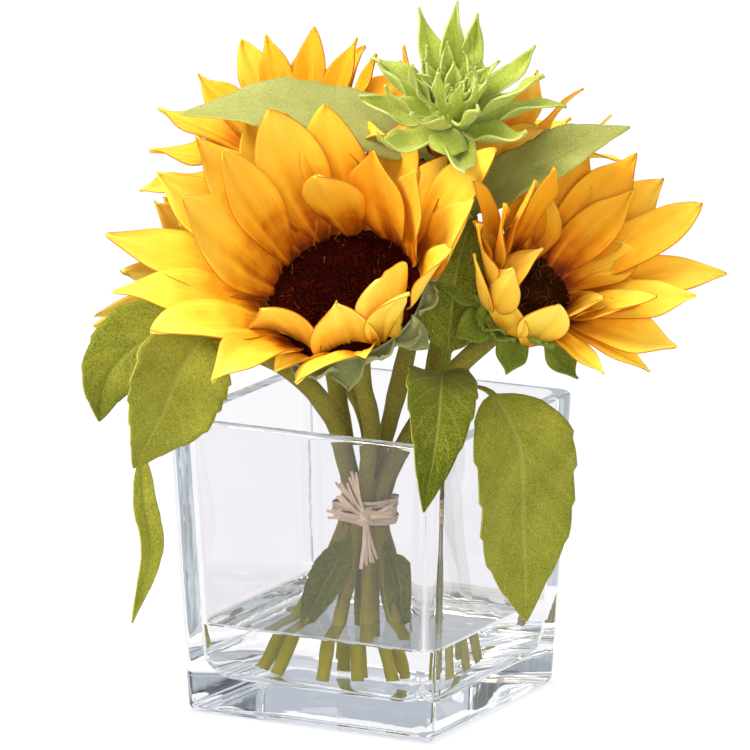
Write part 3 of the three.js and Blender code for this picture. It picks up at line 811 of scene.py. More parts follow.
def coat(piece: bpy.types.Object, *finishes: Finish) -> bpy.types.Object:
    """Gives a piece its finishes.

    Args:
        piece: The piece.
        *finishes: The finishes, in the order of its faces' material numbers.

    Returns:
        The same piece.
    """
    piece.data.materials.clear()
    for finish in finishes:
        piece.data.materials.append(finish.material())
    return piece


def dress(piece: bpy.types.Object, node: str) -> bpy.types.Object:
    """Puts a finished piece in place of its node.

    Args:
        piece: The piece.
        node: The frame's node that it stands for.

    Returns:
        The piece.
    """
    piece.name = piece.data.name = f"{node}_detail"
    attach(piece, "root")
    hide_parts(node)
    log.info("%s: %d faces", piece.name, len(piece.data.polygons))
    return piece


# ------------------------------------------------------------------------------ blades
@dataclass
class Blank:
    """A flat blade, cut to its outline once and copied for each petal or leaf of its kind."""

    columns: int
    rows: int
    outline: Callable[[Array], Array]
    sheet: bpy.types.Object = field(init=False)
    edge: Array = field(init=False)
    along: Array = field(init=False)

    def __post_init__(self) -> None:
        """Cuts the blade: x runs across it and y from 0 at its root to 1 at its tip."""
        start_fresh()
        bpy.ops.mesh.primitive_grid_add(
            x_subdivisions=self.columns, y_subdivisions=self.rows, size=2
        )
        self.sheet = bpy.context.active_object
        bpy.ops.object.mode_set(mode="EDIT")
        bpy.ops.transform.resize(value=(1, 0.5, 1), center_override=(0, 0, 0))
        bpy.ops.transform.translate(value=(0, 0.5, 0))
        shares = np.linspace(0, 1, self.rows + 1)
        for place, width in zip(shares, self.outline(shares)):
            pick(self.sheet, lambda co: abs(co.y - place) < 0.3 / self.rows)
            bpy.ops.transform.resize(value=(width, 1, 1), center_override=(0, place, 0))
        bpy.ops.object.mode_set(mode="OBJECT")
        bpy.ops.object.shade_smooth()
        corners = np.empty(len(self.sheet.data.vertices) * 3)
        self.sheet.data.vertices.foreach_get("co", corners)
        corners = corners.reshape(-1, 3)
        self.along = np.clip(corners[:, 1], 0, 1)
        self.edge = corners[:, 0] / self.outline(self.along)

    def copy(self, name: str, corners: Array, tone: float = 0.0) -> bpy.types.Object:
        """Copies the blade with its vertices at new places.

        Args:
            name: The copy's name.
            corners: Where each vertex goes.
            tone: How deep its colour is, from -1, pale, to 1. On petals it also carries painted
                shade and painted light, and on leaves painted shade.

        Returns:
            The copy, with a mesh of its own.
        """
        mesh = self.sheet.data.copy()
        mesh.vertices.foreach_set("co", corners.astype(np.float32).ravel())
        dye = mesh.attributes.new("tone", "FLOAT", "POINT")
        dye.data.foreach_set("value", np.full(len(mesh.vertices), tone, np.float32))
        piece = bpy.data.objects.new(name, mesh)
        bpy.context.collection.objects.link(piece)
        return piece

    def discard(self) -> None:
        """Takes the blank out of the scene."""
        bpy.data.objects.remove(self.sheet)


def petal_outline(t: Array) -> Array:
    """Gives a petal's half width along it, as a share of its greatest."""
    tip = np.clip((t - 0.7) / 0.3, 0, 1)
    full = np.maximum(np.sin(np.pi * (0.05 + 0.95 * t)), 1e-4) ** 0.8
    return full * (1 - 0.4 * tip**2 * (3 - 2 * tip)) * 0.985 + 0.015


def spoon_outline(t: Array) -> Array:
    """Gives the half width of a petal that is broadest near its blunt tip."""
    return np.maximum(np.sin(np.pi * (0.06 + 0.94 * t) ** 1.3), 1e-4) ** 0.75 * 0.98 + 0.02


def dart_outline(t: Array) -> Array:
    """Gives the half width of a short petal: wide at its root, then straight to its tip."""
    return np.maximum((1 - t) * (0.74 + 1.3 * t) / 0.8, 0.03)


def paddle_outline(t: Array) -> Array:
    """Gives the half width of a petal that widens almost to its squared tip."""
    return np.maximum(np.sin(np.pi * (0.06 + 0.93 * t) ** 2.2), 1e-4) ** 0.5 * 0.98 + 0.02


def sepal_outline(t: Array) -> Array:
    """Gives the half width of a sepal: broad, with a short blunt tip."""
    return np.maximum(np.sin(np.pi * (0.12 + 0.86 * t) ** 1.1), 1e-4) ** 0.6 * 0.98 + 0.02


def bract_outline(t: Array) -> Array:
    """Gives a bract's half width: broad low down, drawn out to a long thin tip."""
    return np.maximum((1 - t) ** 1.25 * (0.5 + 3.3 * t) / 0.93, 0.03)


def strip_outline(t: Array) -> Array:
    """Gives a raffia strip's half width along it: full, and a little less at its cut ends."""
    return 0.75 + 0.25 * np.minimum(1, 6 * np.minimum(t + 0.02, 1.02 - t))


def leaf_outline(t: Array, stalk: float) -> Array:
    """Gives a leaf's half width along it, none on its stalk, as a share of its greatest."""
    blade = np.clip((t - stalk) / (1 - stalk), 0, 1)
    return np.maximum(np.sin(np.pi * blade**0.72), 0) ** 0.85


def scaled(share: Array, way: Array) -> Array:
    """Gives a direction, or one for each place, scaled by each place's own amount."""
    return np.asarray(share)[:, None] * way


@dataclass(frozen=True)
class Axes:
    """A head's own directions: w out of the disc, u to its right and v up, seen face on."""

    centre: Vector
    u: Vector
    v: Vector
    w: Vector

    @classmethod
    def towards(cls, centre: Point, facing: Point) -> Axes:
        """Sets up the axes of a head at a place, facing a way."""
        w = Vector(facing).normalized()
        u = Vector((0, 0, 1)).cross(w).normalized()
        return cls(Vector(centre), u, w.cross(u), w)

    def spoke(self, degrees: float) -> Vector:
        """Gives the direction from the centre at an angle round the disc."""
        angle = math.radians(degrees)
        return self.u * math.cos(angle) + self.v * math.sin(angle)

    def at(self, radius: float, degrees: float, height: float) -> Vector:
        """Gives the point at a radius, an angle and a height on the head."""
        return self.centre + self.spoke(degrees) * radius + self.w * height

    def matrix(self) -> Matrix:
        """Gives the matrix that lays a piece, modelled about Z, on the head."""
        turn = Matrix((self.u, self.v, self.w)).transposed().to_4x4()
        return Matrix.Translation(self.centre) @ turn


# The ways that a blade is tried against its solid, in degrees and as shares of its length, and
# how near it has to come to be taken at once or at all.
BENDS = (0, 7, -7, 14, -14, 21, -21, 28, -28)
CUTS = (1, 0.85, 0.7)
CLOSE_FIT = 0.8 * MM
LOOSE_FIT = 1.6 * MM


@dataclass(frozen=True)
class Petal:
    """A petal, sepal or bract that springs from its root and bends on its way. Its azimuth runs
    round the head, its lift is from the disc's plane and its curl is the bend up to its tip, all
    in degrees as its twist is. Its root and height are where it starts, and the sway at its tip
    is a share of its length."""

    azimuth: float
    lift: float
    curl: float
    length: float
    width: float
    root: float
    height: float
    twist: float = 0.0
    cup: float = 0.25
    ruffle: float = 0.0
    flick: float = 0.0
    crease: float = 0.0
    sway: float = 0.0
    outline: Callable[[Array], Array] = petal_outline

    def corners(self, axes: Axes, edge: Array, along: Array) -> Array:
        """Lays the blade on its head.

        Args:
            axes: The head's axes.
            edge: Each vertex's place across, from -1 to 1.
            along: Its place along, from 0 at the root to 1 at the tip.

        Returns:
            Where each vertex goes.
        """
        spoke, w = np.array(axes.spoke(self.azimuth)), np.array(axes.w)
        across = np.cross(spoke, w)
        start = np.array(axes.at(self.root, self.azimuth, self.height))
        lift = math.radians(self.lift)
        # A blade with no bend at all has no middle to bend round, so it gets one degree.
        bend = math.radians(self.curl if abs(self.curl) >= 1 else 1)
        angle = lift + bend * along
        out = self.length * (np.sin(angle) - math.sin(lift)) / bend
        rise = self.length * (math.cos(lift) - np.cos(angle)) / bend
        flat = scaled(np.cos(angle), w) - scaled(np.sin(angle), spoke)
        turn = math.radians(self.twist) * along
        side = scaled(np.cos(turn), across) + scaled(np.sin(turn), flat)
        normal = scaled(np.cos(turn), flat) - scaled(np.sin(turn), across)
        half = self.width / 2 * self.outline(along)
        middle = start + scaled(out, spoke) + scaled(rise, w)
        shift = half * edge + self.sway * self.length * along**2
        return middle + scaled(shift, side) + scaled(self.bumps(edge, along, half), normal)

    def bumps(self, edge: Array, along: Array, half: Array) -> Array:
        """Bends the blade across and along: its cup, creases, waves and tip.

        Args:
            edge: Each vertex's place across, from -1 to 1.
            along: Its place along, from 0 at the root to 1 at the tip.
            half: The blade's half width there.

        Returns:
            How far each vertex stands off the flat blade.
        """
        phase = 0.37 * self.azimuth + 0.11 * self.length
        belly = np.sin(np.pi * np.minimum(1, 1.15 * along + 0.05))
        wave = 2 * np.pi * (1.4 * along + phase + 0.3 * np.sign(edge))
        folds = np.cos(2 * np.pi * (0.85 * edge + 0.15 * along + phase))
        crumple = np.sin(2 * np.pi * (1.1 * along + 0.7 * edge + 2 * phase))
        return (
            self.cup * half * (edge**2 - 0.4)
            + self.ruffle * edge**2 * np.sin(wave) * np.sin(np.pi * along) ** 0.7
            + self.flick * np.maximum(along - 0.62, 0) ** 2 * self.length
            + self.crease * (0.55 * folds * belly + 0.7 * crumple * along**1.5)
            - 0.9 * self.crease * np.exp(-((edge / 0.15) ** 2)) * belly
        )

    def fitted(self, axes: Axes, solid: BVHTree, stations: Sequence[float]) -> Petal | None:
        """Bends or shortens the blade as its solid is, to lie along it.

        Args:
            axes: The head's axes.
            solid: The solid's surface.
            stations: Places along the midrib that the solid has.

        Returns:
            The blade as the solid has it, or None where the solid has none.
        """
        along = np.array(stations)
        best, least = None, LOOSE_FIT
        for cut in CUTS:
            for bend in BENDS:
                tried = replace(self, lift=self.lift + bend, length=self.length * cut)
                plain = replace(tried, ruffle=0.0, flick=0.0, crease=0.0, sway=0.0)
                middle = plain.corners(axes, np.zeros_like(along), along)
                miss = max(solid.find_nearest(BOUQUET @ Vector(point))[3] for point in middle)
                if miss < CLOSE_FIT:
                    return tried
                if miss < least:
                    best, least = tried, miss
        return best


@dataclass(frozen=True)
class Leaf:
    """A leaf along a rib through listed points, folded a little along its rib. Its face turns from
    up at its stalk to up_tip at its tip, and its stalk is a share of its length."""

    rib: Sequence[Point]
    up: Point
    width: float
    up_tip: Point | None = None
    stalk: float = 0.12
    fold: float = 12.0
    teeth: int = 9
    # How much darker the leaf's flock is. It is partly the leaf's own tone and partly painted
    # shade, and is highest on the leaves that lie low under the heads.
    tone: float = 0.0

    def corners(self, edge: Array, along: Array) -> Array:
        """Lays the blade along the rib.

        Args:
            edge: Each vertex's place across, from -1 to 1.
            along: Its place along, from 0 at the stalk to 1 at the tip.

        Returns:
            Where each vertex goes.
        """
        middle, way = smooth_path(self.rib, along)
        start, end = np.array(self.up, float), np.array(self.up_tip or self.up, float)
        face = start + scaled(along, end - start)
        normal = face - scaled((face * way).sum(1), way)
        normal /= np.linalg.norm(normal, axis=1, keepdims=True)
        side = np.cross(way, normal)
        open_half = self.width / 2 * leaf_outline(along, self.stalk)
        bite = (along * self.teeth) % 1
        notch = 0.075 * open_half * (bite - 0.5) * np.clip((along - self.stalk) * 8, 0, 1)
        stalk_half = 1.7 * (1 - 0.85 * np.clip((along - 0.93) / 0.07, 0, 1))
        half = np.maximum(stalk_half, open_half + notch)
        reach = np.abs(edge)
        rise = math.tan(math.radians(self.fold)) * half * (reach - 0.3)
        vein = np.abs(((along - VEIN_SLANT * reach) * SIDE_VEINS + 0.5) % 1 - 0.5) * 2
        relief = np.exp(-((vein / 0.3) ** 2)) * np.sin(np.pi * np.minimum(1, reach * 1.1))
        wave = np.sin(2 * np.pi * (2.3 * along + 0.25 * np.sign(edge) + self.width / 7))
        rise += open_half * (0.09 * reach**2 * wave - 0.03 * relief)
        rise -= 0.6 * np.exp(-((edge * open_half / 1.3) ** 2)) * np.clip(open_half / 4, 0, 1)
        return middle + scaled(half * edge, side) + scaled(rise, normal)


# ------------------------------------------------------------------------------ vase and water
@dataclass
class Vase:
    """A square pressed-glass vase with thick walls that lean out, a thicker floor and a shallow
    hollow pressed up under its foot."""

    rim: float = 60.0
    foot: float = 54.5
    height: float = 120.0
    wall: float = 6.0
    floor: float = 13.0
    outer_corner: float = 4.0
    inner_corner: float = 7.0
    foot_round: float = 3.0
    rim_round: float = 2.2
    floor_fillet: float = 12.0
    corner_faces: int = 8
    meniscus: float = 1.1
    recess: Sequence[Point] = ((16, 1.9), (12, 1.8), (9, 1.4), (7, 0.7), (5.4, 0.12), (4.6, 0))

    def outside(self, z: float) -> float:
        """Gives half the vase's width at a height."""
        return self.foot + (self.rim - self.foot) * z / self.height

    def hollow(self, inset: float, top: float) -> list[tuple[float, float]]:
        """Gives the hollow's levels.

        Args:
            inset: How far inside the hollow they lie.
            top: The height of the last of them.

        Returns:
            The (half width, height) of each level, from the floor up.
        """
        levels = []
        for rise, reach in quarter(self.floor_fillet, 10):
            z = self.floor + inset + rise
            levels.append((self.outside(z) - self.wall - inset - reach, z))
        levels.append((self.outside(top) - self.wall - inset, top))
        return levels

    def build(self) -> bpy.types.Object:
        """Builds the glass: a rounded block, hollowed by a cutter, with its wet faces parted.

        Returns:
            The vase.
        """
        levels = [(self.foot - inset, z) for inset, z in self.recess]
        for z, inset in quarter(self.foot_round, 15):
            levels.append((self.outside(z) - inset, z))
        for inset, drop in quarter(self.rim_round, 15):
            z = self.height - drop
            levels.append((self.outside(z) - inset, z))
        corner = self.outer_corner * levels[0][0] / self.foot
        block = square_up("vase", levels, corner, self.corner_faces)
        inner = self.hollow(0, WATER_LEVEL)
        for inset, drop in quarter(self.rim_round, 15):
            z = self.height - drop
            inner.append((self.outside(z) - self.wall + inset, z))
        inner.append((inner[-1][0], self.height + 5))
        corner = self.inner_corner * inner[0][0] / self.outside(WATER_LEVEL)
        cutter = square_up("hollow", inner, corner, self.corner_faces)
        apply_modifier(block, "BOOLEAN", object=cutter, operation="DIFFERENCE", solver="EXACT")
        bpy.data.objects.remove(cutter)
        coat(block, GLASS, WET_GLASS)
        for face in block.data.polygons:
            x, y, z = face.center
            inside = max(abs(x), abs(y)) < self.outside(z) - self.wall + 1
            face.material_index = int(inside and self.floor - 0.01 < z < WATER_LEVEL)
        vase = settle(block, VASE_AXES)
        use(vase)
        bpy.ops.object.shade_smooth_by_angle(angle=math.radians(GLASS_CREASE))
        apply_modifier(vase, "WEIGHTED_NORMAL", mode="FACE_AREA", weight=50, keep_sharp=True)
        return dress(vase, "vase")

    def fill(self) -> bpy.types.Object:
        """Pours the water: its top creeps up a little where it meets the glass.

        Returns:
            The water.
        """
        gap = 0.02
        levels = self.hollow(gap, WATER_LEVEL)
        edge, top = levels[-1]
        levels[-1] = (edge, top + self.meniscus)
        for out, drop in ((0.5, 0.75), (1.2, 0.92), (2.4, 1.0)):
            levels.append((edge - out, top + self.meniscus * (1 - drop)))
        corner = self.inner_corner * levels[0][0] / edge
        water = settle(square_up("water", levels, corner, self.corner_faces), VASE_AXES)
        coat(water, WATER_TOP, WATER_SIDE)
        brim = (WATER_LEVEL - 0.5) * MM
        for face in water.data.polygons:
            face.material_index = int(face.normal.z < 0.05 or face.center.z < brim)
        apply_modifier(water, "WEIGHTED_NORMAL", mode="FACE_AREA", weight=50, keep_sharp=True)
        return dress(water, "water")


# ------------------------------------------------------------------------------ flower heads
@dataclass
class FlowerHead:
    """A sunflower head: a velvet disc in a ring of petals, two layers deep. A row of outer or
    inner is one petal's azimuth, lift, curl, length and width, and lap is how far the inner
    layer starts inside the disc's rim."""

    name: str
    centre: Point
    facing: Point
    disc: float
    stations: Sequence[float]
    outer: Sequence[Sequence[float]]
    inner: Sequence[Sequence[float]]
    posed: Sequence[Petal] = ()
    florets: int = 800
    # How much deeper the colour of all the head's petals is. It is partly the head's own colour and
    # partly painted shade, as on the right-hand and two rear heads, and painted light, as on the
    # paler front head.
    dye: float = 0.0
    slim: float = 1.0
    lap: float = -1.4
    hairs: int = 20
    rim: float = 1.2
    crown: float = 5.5

    @property
    def axes(self) -> Axes:
        """Gives the head's axes."""
        return Axes.towards(self.centre, self.facing)

    @staticmethod
    def shade(petal: Petal) -> float:
        """Gives a petal's painted shade, which deepens its colour at the head's top, and its
        painted light, which makes it paler at its bottom.
        """
        high = math.sin(math.radians(petal.azimuth))
        return 0.9 * high * math.sin(math.radians(petal.lift)) if high > 0 else 0.4 * high

    def dome(self, radius: float) -> float:
        """Gives the height of the disc's dome at a radius."""
        return self.rim + (self.crown - self.rim) * (1 - (radius / self.disc) ** 2)

    def petals(
        self, spear: Blank, spoon: Blank, finish: Finish, solids: dict[str, BVHTree]
    ) -> bpy.types.Object:
        """Builds the petals on the ring that carries them.

        Args:
            spear: The pointed petals' common shape.
            spoon: The blunt petals' common shape.
            finish: The disc's finish, which runs out over the ring.
            solids: The surface of each of the frame's nodes.

        Returns:
            The petals and their ring, as one piece.
        """
        node = f"{self.name}_petals"
        made = []
        layers = (
            (self.outer, self.disc + 2.2, -0.9, 0.0), (self.inner, self.disc - self.lap, 0.2, 0.25)
        )
        for k, (rows, root, height, depth) in enumerate(layers):
            for i, (azimuth, lift, curl, length, width) in enumerate(rows):
                blank = spoon if (i + 2 * k) % 5 == 3 else spear
                petal = Petal(
                    azimuth, lift, curl, length, width, root, height,
                    twist=9 * draw(i, self.disc), ruffle=1.5 + 0.8 * draw(i, k + 40),
                    flick=0.9 * draw(i, self.disc + 5), crease=0.75 + 0.35 * draw(i, k + 43),
                    sway=0.07 * draw(i, self.disc + k + 50), outline=blank.outline,
                ).fitted(self.axes, solids[node], self.stations)
                if petal is None:
                    log.info("%s has no room for petal %d", node, i)
                    continue
                # A petal's tone is the head's, a little deeper on the inner layer, plus the painted
                # shade and painted light of shade() and a random share.
                tone = self.dye + depth + self.shade(petal) + 0.3 * draw(i, self.disc + 7)
                slim = self.slim + 0.12 * draw(i, self.disc + 9)
                petal = replace(petal, width=petal.width * slim)
                corners = petal.corners(self.axes, blank.edge, blank.along)
                made.append(blank.copy("petal", corners, tone))
        for i, petal in enumerate(self.posed):
            corners = petal.corners(self.axes, spear.edge, spear.along)
            # A posed petal's tone is a little paler than the head's, plus the head's painted shade
            # and painted light from shade() and a random share.
            tone = self.dye - 0.1 + self.shade(petal) + 0.15 * draw(i, self.disc + 70)
            made.append(spear.copy("petal", corners, tone))
        layer = coat(join("petals", made), PETAL, PETAL_BACK, PETAL_EDGE)
        apply_modifier(
            layer, "SOLIDIFY", thickness=PETAL_THICKNESS, offset=0.0, material_offset=1,
            material_offset_rim=2,
        )
        inside, outside = self.disc + 0.5, self.disc + RING_WIDTH
        profile = (
            (inside, RING_BOTTOM), (outside, RING_BOTTOM), (outside, RING_TOP - 1),
            (inside, RING_TOP),
        )
        ring = coat(turn_ring("ring", profile, 48), finish)
        ring = settle(ring, self.axes.matrix())
        whole = settle(join(node, [layer, ring]), BOUQUET)
        return dress(whole, node)

    def velvet(self, finish: Finish, slot: Slot) -> bpy.types.Object:
        """Builds the disc: a low dome set with tufts in a sunflower's spirals.

        Args:
            finish: The pile's finish.
            slot: The material slot meant for the disc; it is not used.

        Returns:
            The disc.
        """
        levels = [(self.disc - 0.4, RING_BOTTOM), (self.disc, RING_BOTTOM + 0.6)]
        for step in range(12):
            radius = self.disc * (1 - step / 12)
            levels.append((radius, self.dome(radius)))
        made = [turn_up("dome", levels, 48)]
        tuft = turn_up("tuft", [(0.55, 0), (0.52, 0.8), (0.2, 1.5)], 4, 60)
        for i in range(self.florets):
            share = math.sqrt((i + 0.5) / self.florets)
            radius = (self.disc + 1.6) * share + 0.5 * draw(i, 11)
            angle = i * GOLDEN_ANGLE + 0.03 * draw(i, 13)
            x, y = math.cos(angle), math.sin(angle)
            place = Matrix.Translation((radius * x, radius * y, self.dome(radius) - 0.7))
            lean = 0.7 * share + 0.45 * draw(i, 3)
            tilt = Matrix.Rotation(lean, 4, (-y, x, 0.3 * draw(i, 17)))
            size = Matrix.Diagonal((1, 1, 1 + 0.45 * draw(i, 5), 1))
            made.append(plant(tuft, place @ tilt @ Matrix.Rotation(angle * 3, 4, "Z") @ size))
        bpy.data.objects.remove(tuft)
        disc = join("pile", [coat(join("disc", made), finish), self.loose_fibres()])
        disc = settle(settle(disc, self.axes.matrix()), BOUQUET)
        return dress(disc, f"{self.name}_disc")

    def loose_fibres(self) -> bpy.types.Object:
        """Builds the fine pale fibres that have come loose and stand out of the pile.

        Returns:
            The fibres, about the disc's own axes.
        """
        fibre = turn_up("fibre", [(0.07, 0), (0.06, 1.6), (0.03, 3.2)], 3, 60)
        made = []
        for i in range(self.hairs):
            share = math.sqrt(abs(draw(i, self.disc + 90)))
            radius, angle = self.disc * share, math.pi * draw(i, self.disc + 91)
            height = self.crown - 0.5 - 3 * share
            place = Vector((radius * math.cos(angle), radius * math.sin(angle), height))
            lean = Matrix.Rotation(1.0 + 0.5 * draw(i, 92), 4, (draw(i, 93), draw(i, 94), 0.1))
            size = Matrix.Scale(1 + 0.4 * draw(i, 95), 4)
            made.append(plant(fibre, Matrix.Translation(place) @ lean @ size))
        bpy.data.objects.remove(fibre)
        return coat(join("fibres", made), FIBRE)


def turn_ring(name: str, profile: Sequence[Point], sides: int) -> bpy.types.Object:
    """Turns a closed profile about Z into a ring.

    Args:
        name: The ring's name.
        profile: The (radius, height) of each corner, in order round the ring's section.
        sides: How many sides it has.

    Returns:
        The ring.
    """
    start_fresh()
    radius, height = profile[0]
    bpy.ops.mesh.primitive_circle_add(vertices=sides, radius=radius, location=(0, 0, height))
    ring = settle(bpy.context.active_object, bpy.context.active_object.matrix_world.copy())
    bpy.ops.object.mode_set(mode="EDIT")
    bpy.ops.mesh.select_all(action="SELECT")
    draw_up([*profile, profile[0]])
    bpy.ops.mesh.select_all(action="SELECT")
    bpy.ops.mesh.remove_doubles(threshold=0.001)
    close_up(ring, 40)
    ring.name = name
    return ring


# ------------------------------------------------------------------------------ stems
@dataclass
class Stem:
    """A stem from the vase's floor through the tie to its head, with its leaves and its calyx.
    Its place is its angle round the tie. A shoot is a lower stem that ends above the tie: its
    angle and its share of the spread."""

    node: str
    place: float
    via: Sequence[Point]
    head: Axes | None = None
    calyx: float = 0.0
    calyx_top: float = RING_BOTTOM - 0.3
    sepals: float = 0.0
    leaves: Sequence[Leaf] = ()
    shoots: Sequence[Sequence[float]] = ()
    foliage: Finish = LEAF
    cover: Finish = SEPAL
    hang: float = 24.0
    ring: float = 1.0
    spread: float = 1.0
    tie: Point = (-1.5, 78.0, 6.9)
    feet: Point = (-8.0, 32.0, 15.2)
    radii: Point = (2.79, 2.88, 3.96)
    shoot_radius: float = 2.7
    sepal_count: int = 8
    small_sepal_count: int = 13

    def foot(self, place: float, spread: float) -> Point:
        """Gives where a stem stands on the vase's floor, at an angle and a share of the spread."""
        middle, reach, z = self.feet
        angle = math.radians(place)
        return (middle + reach * spread * math.cos(angle), reach * spread * math.sin(angle), z)

    def neck(self, place: float, share: float) -> Point:
        """Gives where a stem runs through the tie, at an angle and a share of the ring."""
        centre, z, pitch = self.tie
        angle = math.radians(place)
        return (centre + pitch * share * math.cos(angle), pitch * share * math.sin(angle), z)

    def path(self) -> list[Point]:
        """Gives the stem's path.

        Returns:
            The points that it runs through, from its cut foot up.
        """
        points = [self.foot(self.place, self.spread), self.neck(self.place, self.ring), *self.via]
        if self.head:
            points += [self.head.at(0, 0, rise - CALYX_DEPTH) for rise in (-9, 4)]
        return points

    def build(self, sepal: Blank, leaf: Blank, solids: dict[str, BVHTree]) -> bpy.types.Object:
        """Builds the stem with all that grows on it.

        Args:
            sepal: The sepals' common shape.
            leaf: The leaves' common blade.
            solids: The surface of each of the frame's nodes.

        Returns:
            The stem, leaves, calyx and sepals as one piece.
        """
        middle, _ = smooth_path(self.path(), np.linspace(0, 1, 56))
        z = middle[:, 2]
        radii = np.interp(z, (0, self.tie[1], self.tie[1] + 60), self.radii)
        knots = 1 + 0.05 * np.sin(z / 4.7 + self.place) + 0.03 * np.sin(z / 1.9)
        made = [coat(bar("stem", middle, radii * knots, 14), STEM_FLOCK)]
        for place, spread in self.shoots:
            x, y, height = self.neck(place, 0.75)
            points = [self.foot(place, spread), (x, y, height), (x, y, height + 14)]
            curve, _ = smooth_path(points, np.linspace(0, 1, 30))
            shoot = bar("shoot", curve, np.full(30, self.shoot_radius), 12)
            made.append(coat(shoot, STEM_FLOCK))
        if self.head and self.calyx:
            wide, top = self.calyx, self.calyx_top
            levels = [
                (4.2, -CALYX_DEPTH - 4), (4.9, -CALYX_DEPTH - 1.5), (5.6, -CALYX_DEPTH + 1),
                (0.4 * wide + 1.5, -CALYX_DEPTH + 3.4), (0.62 * wide + 1, -CALYX_DEPTH + 5),
                (0.8 * wide + 0.5, -CALYX_DEPTH + 7.6), (0.93 * wide, top - 3.5), (wide, top - 0.6),
                (wide - 0.8, top),
            ]
            cup = coat(turn_up("calyx", levels, 36), self.cover)
            made.append(settle(cup, self.head.matrix()))
        if self.sepals and self.head:
            made.append(self.grow_sepals(sepal, solids[self.node]))
        if self.leaves:
            made.append(self.grow_leaves(leaf))
        return dress(settle(join(self.node, made), BOUQUET), self.node)

    def grow_sepals(self, blank: Blank, solid: BVHTree) -> bpy.types.Object:
        """Builds the sepals that hang under the head.

        Args:
            blank: The sepals' common shape.
            solid: The surface of the stem's node.

        Returns:
            The long sepals, which lie along the solid's, and the small wavy ones between them.
        """
        made = []
        disc = self.sepals
        for i in range(self.sepal_count):
            azimuth = 360 * (i + 0.4) / self.sepal_count + 8 * draw(i, disc)
            sepal = Petal(
                azimuth, lift=-16 + 6 * draw(i, disc + 1), curl=20 + 14 * draw(i, disc + 2),
                length=self.hang + 3 * draw(i, disc + 3), width=14, root=disc * 0.88,
                height=RING_BOTTOM - 5, ruffle=1.4, crease=0.5, flick=0.8 * draw(i, disc + 9),
            ).fitted(self.head, solid, (0.45, 1))
            if sepal:
                made.append(sepal)
        for i in range(self.small_sepal_count):
            azimuth = 360 * i / self.small_sepal_count + 9 * draw(i, disc + 20)
            sepal = Petal(
                azimuth, lift=14 + 8 * draw(i, disc + 21), curl=22 + 24 * draw(i, disc + 22),
                length=14 + 2.5 * draw(i, disc + 23), width=15, root=disc,
                height=RING_BOTTOM - 4.2 + 0.8 * (i % 2), ruffle=2.2, crease=0.8, cup=0.35,
                twist=16 * draw(i, disc + 24), outline=sepal_outline,
            )
            made.append(sepal)
        log.info("%s has %d sepals", self.node, len(made))
        sepals = [
            blank.copy("sepal", sepal.corners(self.head, blank.edge, blank.along))
            for sepal in made
        ]
        layer = coat(join("sepals", sepals), self.cover)
        apply_modifier(layer, "SOLIDIFY", thickness=LEAF_THICKNESS, offset=0.0)
        return layer

    def grow_leaves(self, blank: Blank) -> bpy.types.Object:
        """Builds the stem's leaves.

        Args:
            blank: The leaves' common blade.

        Returns:
            The leaves.
        """
        made = [
            blank.copy("leaf", leaf.corners(blank.edge, blank.along), leaf.tone)
            for leaf in self.leaves
        ]
        layer = coat(join("leaves", made), self.foliage, LEAF_BACK, LEAF_EDGE)
        apply_modifier(
            layer, "SOLIDIFY", thickness=LEAF_THICKNESS, offset=0.0, material_offset=1,
            material_offset_rim=2,
        )
        return layer


